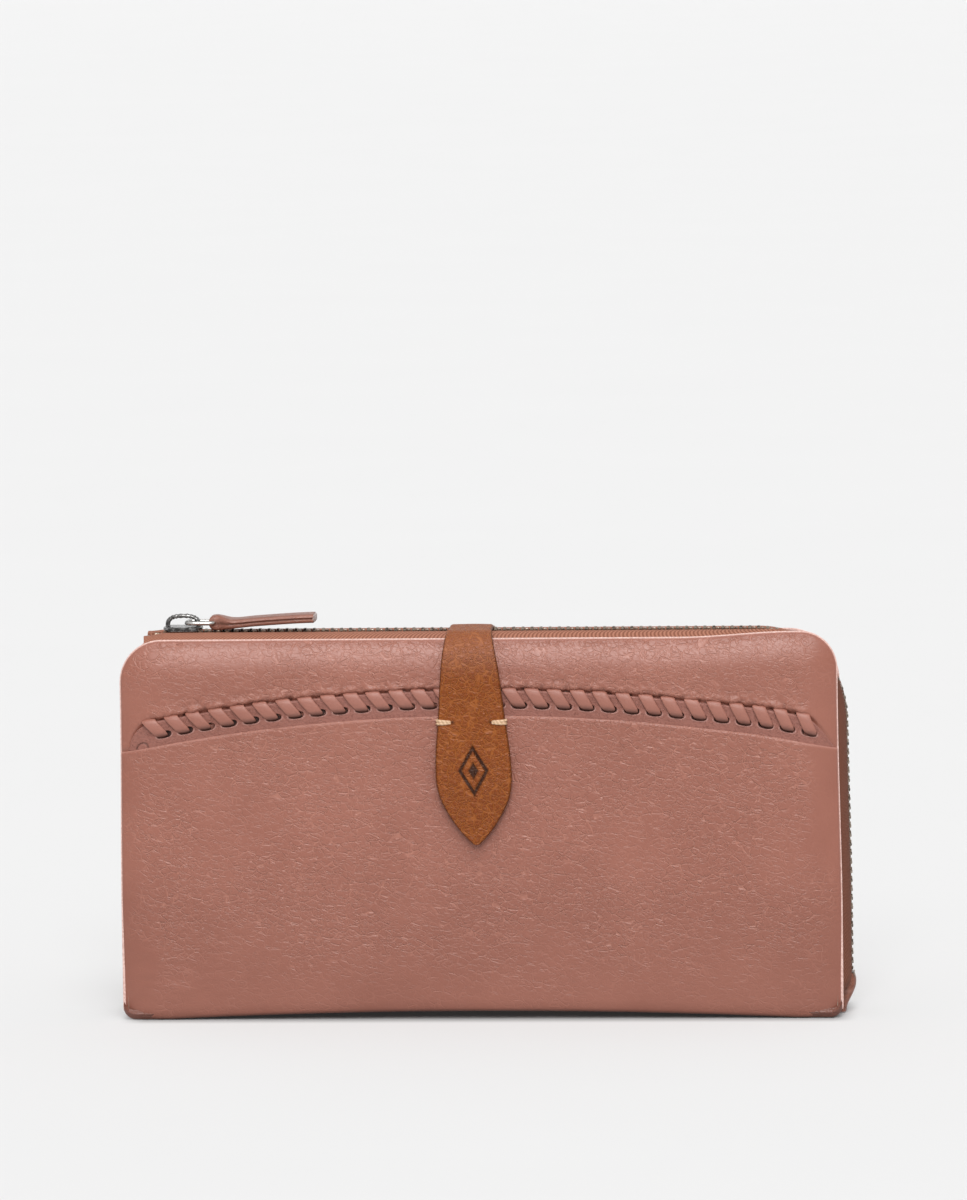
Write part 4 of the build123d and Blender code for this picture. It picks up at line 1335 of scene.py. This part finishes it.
def build_pull_tab():
    """Leather strip folded round the ring and glued to itself, with a raw cut end."""
    low, high = tab_low, tab_high
    pivot = joints["tab_swing"]["pos_m"]
    pivot_x, pivot_z = pivot[0] / MM, pivot[2] / MM
    length = high[0] - low[0]
    rings, wear_and_highlight, dark_marks_and_shade = [], [], []
    around = 40
    for share in np.linspace(0, 1, 60):
        x = low[0] + length * share
        neck = smooth_step(x, pivot_x + 0.6, pivot_x + 4.2)
        half_width = 2.05 + 1.95 * neck
        half_thick = 1.22 + 0.85 * math.exp(-((x - pivot_x - 0.6) / 2.6) ** 2)
        front_end = math.sqrt(max(0.04, 1 - max(0.0, 1 - (x - low[0]) / 1.2) ** 2))
        half_thick *= front_end
        bow = 1.15 * smooth_step(share, 0.12, 1.05) - 0.25 * math.exp(-((share - 0.25) / 0.12) ** 2)
        row = []
        for a in full_turn(around):
            c, s = math.cos(a), math.sin(a)
            across = signed_power(c, 0.35) * half_width
            through = signed_power(s, 0.6) * half_thick
            seam_line = 0.16 + 0.25 * math.exp(-((x - pivot_x - 2.0) / 2.0) ** 2)
            split = math.exp(-(through / seam_line) ** 2) * smooth_step(abs(c), 0.80, 1.0)
            across *= 1 - 0.09 * split * neck
            row.append((x, across, pivot_z + bow + through))
            dark_marks_and_shade.append(0.55 * split)
            wear_and_highlight.append(0.18 * smooth_step(abs(c), 0.55, 0.9) * (1 - split))
        rings.append(row)
    shape = loft_solid(rings)
    marks = marks_for(shape[0], wear_and_highlight=np.array(wear_and_highlight), dark_marks_and_shade=np.array(dark_marks_and_shade))
    make_piece(
        "tab_leather", shape, trim_leather, ["pull_tab"], "pull_tab", marks=marks
    )
    end = []
    for along, grow in ((0.0, 0.94), (0.35, 0.97), (0.62, 0.80)):
        row = []
        for a in full_turn(around):
            c, s = math.cos(a), math.sin(a)
            across = signed_power(c, 0.35) * 4.0 * grow
            through = signed_power(s, 0.6) * 1.05 * grow
            row.append((high[0] + along - 0.2, across, pivot_z + 1.12 + through))
        end.append(row)
    make_piece("tab_cut_end", loft_solid(end), raw_cut, [], "pull_tab")


build_slider()
build_bridge()
build_ring()
build_pull_tab()


# ------------------------------------------------------------------ gusset
def build_gusset():
    """Accordion of thin leather down the left side."""
    low, high = gusset_low, gusset_high
    outer_x, inner_x = low[0] + 0.4, high[0] - 0.4
    half = (high[1] - low[1]) / 2 - 0.35
    share = np.linspace(0, 1, 81)
    wave = 0.5 + 0.5 * np.cos(TURN * 2 * share)
    wave = wave ** 0.85
    x = inner_x + (outer_x - inner_x) * wave
    y = half - 2 * half * share
    heights = np.linspace(low[2], high[2], 60)
    sag = 0.5 * np.sin((heights - low[2]) / (high[2] - low[2]) * math.pi)
    grid_x = x[None, :] + 0.6 * sag[:, None] * np.sin(TURN * share)[None, :]
    grid_y = np.broadcast_to(y[None, :], grid_x.shape)
    grid_z = np.broadcast_to(heights[:, None], grid_x.shape)
    slope_x, slope_y = np.gradient(x), np.gradient(y)
    size = np.hypot(slope_x, slope_y)
    offset_x, offset_y = -slope_y / size * 0.3, slope_x / size * 0.3
    front = np.stack([grid_x + offset_x, grid_y + offset_y, grid_z], -1)
    back = np.stack([grid_x - offset_x, grid_y - offset_y, grid_z], -1)
    shape = sheet_solid(front, back)
    piece = make_piece(
        "gusset_leather", shape, inner_leather, ["left_gusset"],
        marks=marks_for(shape[0], calm=0.5), smooth=80,
    )
    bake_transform(piece)


build_gusset()


# ------------------------------------------------------------------ card slots and coin pocket
def build_card_row(name, sign, body):
    """One row of card slots: a leather strip with a turned upper edge and a seam in its middle."""
    low, high = box_mm(name)
    x = np.linspace(low[0], high[0], 240)
    z = np.concatenate([
        np.linspace(low[2], high[2] - 3, 30), np.linspace(high[2] - 2.8, high[2], 14),
    ])
    grid_x, grid_z = np.meshgrid(x, z)
    under = min(abs(low[1]), abs(high[1]))
    wall = max(abs(low[1]), abs(high[1]))
    down = high[2] - grid_z
    middle = (low[0] + high[0]) / 2
    pocket = np.abs(np.sin((grid_x - middle) / (high[0] - middle) * math.pi))
    bulge = 0.22 * pocket ** 0.5 * np.exp(-down / 14)
    hem = 0.16 * smooth_step(-down, -1.9, -1.7)
    crease = 0.12 * np.exp(-((grid_x - middle) / 0.35) ** 2)
    inner_face = under - bulge - hem + crease
    end_round = np.clip(down / 0.25, 0, 1)
    inner_face = wall - (wall - inner_face) * np.sqrt(1 - (1 - end_round) ** 2 * 0.8)
    front = np.stack([grid_x, sign * inner_face, grid_z], -1)
    back = np.stack([grid_x, sign * (wall + 0 * grid_x), grid_z], -1)
    shape = sheet_solid(front, back)
    make_piece(
        f"{name}_leather", shape, inner_leather, [name], body,
        marks=marks_for(shape[0], calm=0.2),
    )


def build_card_stitches(sign, body, name):
    """Sewing along the middle and both ends of a cover's card slots."""
    low, high = box_mm(f"card_slot_{name}_1")
    parts = []
    middle = (low[0] + high[0]) / 2
    faces = [box_mm(f"card_slot_{name}_{row}") for row in range(1, 5)]
    for x in (low[0] + 1.6, middle, high[0] - 1.6):
        for z in np.arange(low[2] + 1.5, high[2] - 1.5, 3.2):
            depth = min(min(abs(l[1]), abs(h[1])) for l, h in faces if z < h[2])
            y = sign * (depth - 0.05)
            ends = (x, y, z - 1.1), (x, y, z + 1.1)
            parts.append(capsule(*ends, 0.2, -sign * 0.1, steps=5, around=6))
    make_piece(f"card_stitches_{name}", merged(parts), rose_thread, [], body)


for side_name, side_sign, side_body in SIDES:
    for card_row in range(1, 5):
        build_card_row(f"card_slot_{side_name}_{card_row}", side_sign, side_body)
    build_card_stitches(side_sign, side_body, side_name)


def build_pocket_wall(name, sign):
    """Cloth wall of the coin pocket, a little puffed."""
    low, high = box_mm(name)
    x = np.linspace(low[0], high[0], 160)
    z = np.linspace(low[2], high[2], 60)
    grid_x, grid_z = np.meshgrid(x, z)
    across = (grid_x - low[0]) / (high[0] - low[0])
    upward = (grid_z - low[2]) / (high[2] - low[2])
    puff = 0.55 * np.sin(across * math.pi) ** 0.6 * np.sin(np.clip(upward, 0, 1) * math.pi) ** 0.8
    ripple = 0.22 * grid_noise(grid_x, grid_z, 19.0, 4.0 + sign) * np.sin(upward * math.pi)
    outer = max(abs(low[1]), abs(high[1])) + puff + ripple
    front = np.stack([grid_x, sign * outer, grid_z], -1)
    back = np.stack([grid_x, sign * (outer - 0.5), grid_z], -1)
    uv = np.stack([grid_x, grid_z], -1).reshape(-1, 2)
    piece = make_piece(
        f"{name}_cloth", sheet_solid(front, back), pocket_cloth, [name], "coin_pocket",
        uv=np.concatenate([uv, uv]),
    )


pocket_cloth = cloth("pocket_cloth", (0.40, 0.195, 0.155), (0.27, 0.12, 0.095), pitch=0.5)
build_pocket_wall("coin_pocket_front", -1)
build_pocket_wall("coin_pocket_back", 1)


def build_coin_tapes():
    """Both tapes of the coin pocket's zip."""
    low, high = box_mm("coin_zip_tape")
    parts, uvs = [], []
    for sign in (-1, 1):
        x = np.linspace(low[0], high[0], 150)
        share = np.linspace(0, 1, 9)
        grid_x = np.broadcast_to(x[None, :], (9, 150))
        y = sign * (high[1] + 0.25 - (high[1] + 0.25 - 1.1) * share)
        z = low[2] - 3.2 + 3.5 * np.sin(np.clip(share * 1.35, 0, 1) * math.pi / 2)
        grid_y = np.broadcast_to(y[:, None], grid_x.shape)
        grid_z = np.broadcast_to(z[:, None], grid_x.shape)
        top = np.stack([grid_x, grid_y, grid_z], -1)
        under = np.stack([grid_x, grid_y - sign * 0.25, grid_z - 0.3], -1)
        parts.append(sheet_solid(top, under))
        wide = np.broadcast_to((share * 5)[:, None], grid_x.shape)
        uv = np.stack([grid_x, wide], -1).reshape(-1, 2)
        uvs += [uv, uv]
    make_piece(
        "coin_tapes", merged(parts), tape_cloth, ["coin_zip_tape"], "coin_pocket",
        uv=np.concatenate(uvs),
    )


def build_coin_teeth():
    low, high = box_mm("coin_zip_teeth")
    shape_points, shape_faces = tooth_shape()
    shape_points = shape_points * 0.72
    chain_z = (low[2] + high[2]) / 2
    parts = []
    for sign, phase in ((-1, 0.0), (1, 0.9)):
        for x in np.arange(low[0] + 0.6 + phase, high[0] - 0.4, 1.8):
            moved = np.array([x, sign * 0.9, chain_z]) + shape_points * np.array([1, -sign, 1])
            parts.append((moved, shape_faces))
    make_piece(
        "coin_teeth", merged(parts), tooth_metal, ["coin_zip_teeth"], "coin_pocket",
        smooth=40,
    )


def build_coin_pull():
    low, high = box_mm("coin_pull")
    pivot = joints["coin_pull_swing"]["pos_m"]
    pivot_x, z = pivot[0] / MM, pivot[2] / MM
    rings = []
    for share in np.linspace(0, 1, 40):
        x = low[0] + (high[0] - low[0]) * share
        wide = 0.95 + 1.25 * smooth_step(x, pivot_x + 1.4, pivot_x + 5.0)
        tip = math.sqrt(max(0.05, 1 - max(0.0, (x - high[0] + 2.0) / 2.0) ** 2.5))
        nose = math.sqrt(max(0.05, 1 - max(0.0, (low[0] + 0.8 - x) / 0.8) ** 2))
        section = rounded_section(wide * tip, 0.62 * nose, steps=5, power=0.55)
        rings.append([(x, a, z + t) for a, t in section])
    points, faces = loft_solid(rings)
    make_piece(
        "coin_pull_leather", (points, faces), trim_leather, ["coin_pull"], "coin_pull",
        marks=marks_for(points),
    )


build_coin_tapes()
build_coin_teeth()
build_coin_pull()


# ------------------------------------------------------------------ CAD pieces that stay
def repaint(material, *names):
    for name in names:
        kept = frame["nodes"][name]
        kept.data.materials.clear()
        kept.data.materials.append(material)


repaint(lining_cloth, "front_lining", "back_lining", "coin_pocket_edge")
repaint(magnet_metal, "front_magnet", "strap_magnet")
repaint(tooth_metal, "zip_bottom_stop")
repaint(slider_metal, "coin_slider")


# ------------------------------------------------------------------ floor, light and camera
FLOOR_GLOW = 0.382


def build_stage():
    """Pale floor that runs far back and curves up into a backdrop."""
    x = np.linspace(-9000, 9000, 3)
    rows = [(-6000.0, 0.0), (7000.0, 0.0)]
    for a in np.linspace(0.1, math.pi / 2, 14):
        rows.append((7000 + 1500 * math.sin(a), 1500 - 1500 * math.cos(a)))
    rows.append((8500.0, 6000.0))
    points = [(px, y, z) for y, z in rows for px in x]
    mesh = bpy.data.meshes.new("floor")
    mesh.from_pydata((np.array(points) * MM).tolist(), [], quads(len(rows), len(x)).tolist())
    mesh.shade_smooth()
    material, tree, shader = new_material("floor_paper")
    place = frame_coords(tree)
    drift = node(tree, "TexNoise", Vector=place, Scale=0.01, Detail=3.0)
    colour = blend_colour(tree, drift.outputs["Fac"], (0.38, 0.38, 0.38), (0.39, 0.39, 0.39))
    tree.links.new(colour, shader.inputs["Base Color"])
    shader.inputs["Roughness"].default_value = 0.9
    shader.inputs["Specular IOR Level"].default_value = 0.0
    shader.inputs["Emission Color"].default_value = (1, 1, 1, 1)
    parts = node(tree, "SeparateXYZ", Vector=place)
    # The floor glows less under and beside the wallet: a painted contact shadow.
    beside = ramp(tree, maths(tree, "ABSOLUTE", parts.outputs["X"]), 90.0, 98.0, 1.0, 0.0)
    under = ramp(tree, maths(tree, "ABSOLUTE", parts.outputs["Y"]), 11.0, 19.0, 1.0, 0.0)
    painted_contact_shadow = maths(tree, "MULTIPLY", beside, under)
    glow = maths(tree, "MULTIPLY_ADD", painted_contact_shadow, -0.95 * FLOOR_GLOW, FLOOR_GLOW)
    tree.links.new(glow, shader.inputs["Emission Strength"])
    mesh.materials.append(material)
    floor = bpy.data.objects.new("floor", mesh)
    bpy.context.scene.collection.objects.link(floor)


def add_sun(name, direction, spread, strength):
    """Far soft light; direction points from the object to the light."""
    lamp = bpy.data.lights.new(name, "SUN")
    lamp.angle = math.radians(spread)
    lamp.energy = strength
    holder = bpy.data.objects.new(name, lamp)
    holder.rotation_euler = (-Vector(direction)).to_track_quat("-Z", "Y").to_euler()
    bpy.context.scene.collection.objects.link(holder)


def add_world(high, low):
    """Studio surround: bright overhead, darker towards the horizon."""
    world = bpy.data.worlds.new("studio")
    bpy.context.scene.world = world
    world.use_nodes = True
    tree = world.node_tree
    direction = node(tree, "TexCoord").outputs["Generated"]
    upward = node(tree, "SeparateXYZ", Vector=direction).outputs["Z"]
    share = ramp(tree, upward, 0.05, 0.75)
    colour = blend_colour(tree, share, (low, low, low), (high, high, high))
    tree.links.new(colour, tree.nodes["Background"].inputs["Color"])
    tree.nodes["Background"].inputs["Strength"].default_value = 1.0


def add_camera():
    azimuth, elevation, roll = math.radians(4.0), math.radians(6.3), math.radians(-0.8)
    distance = 2.2
    target = Vector((-0.0004, 0.0, 0.1099))
    away = Vector((
        math.sin(azimuth) * math.cos(elevation), -math.cos(azimuth) * math.cos(elevation),
        math.sin(elevation),
    ))
    camera_data = bpy.data.cameras.new("camera")
    camera_data.sensor_fit = "VERTICAL"
    camera_data.sensor_height = 36.0
    camera_data.lens = 250.4
    camera = bpy.data.objects.new("camera", camera_data)
    camera.location = target + away * distance
    turned = (-away).to_track_quat("-Z", "Y").to_matrix().to_4x4()
    camera.rotation_euler = turned.to_euler()
    camera.rotation_euler.rotate_axis("Z", roll)
    bpy.context.scene.collection.objects.link(camera)
    bpy.context.scene.camera = camera


build_stage()
add_sun("top_light", (0.10, -0.55, 1.0), 26, 1.25)
add_sun("front_light", (0.05, -1.0, 0.63), 24, 1.45)
add_world(0.80, 0.30)
add_camera()
bpy.context.scene.view_settings.view_transform = "Standard"
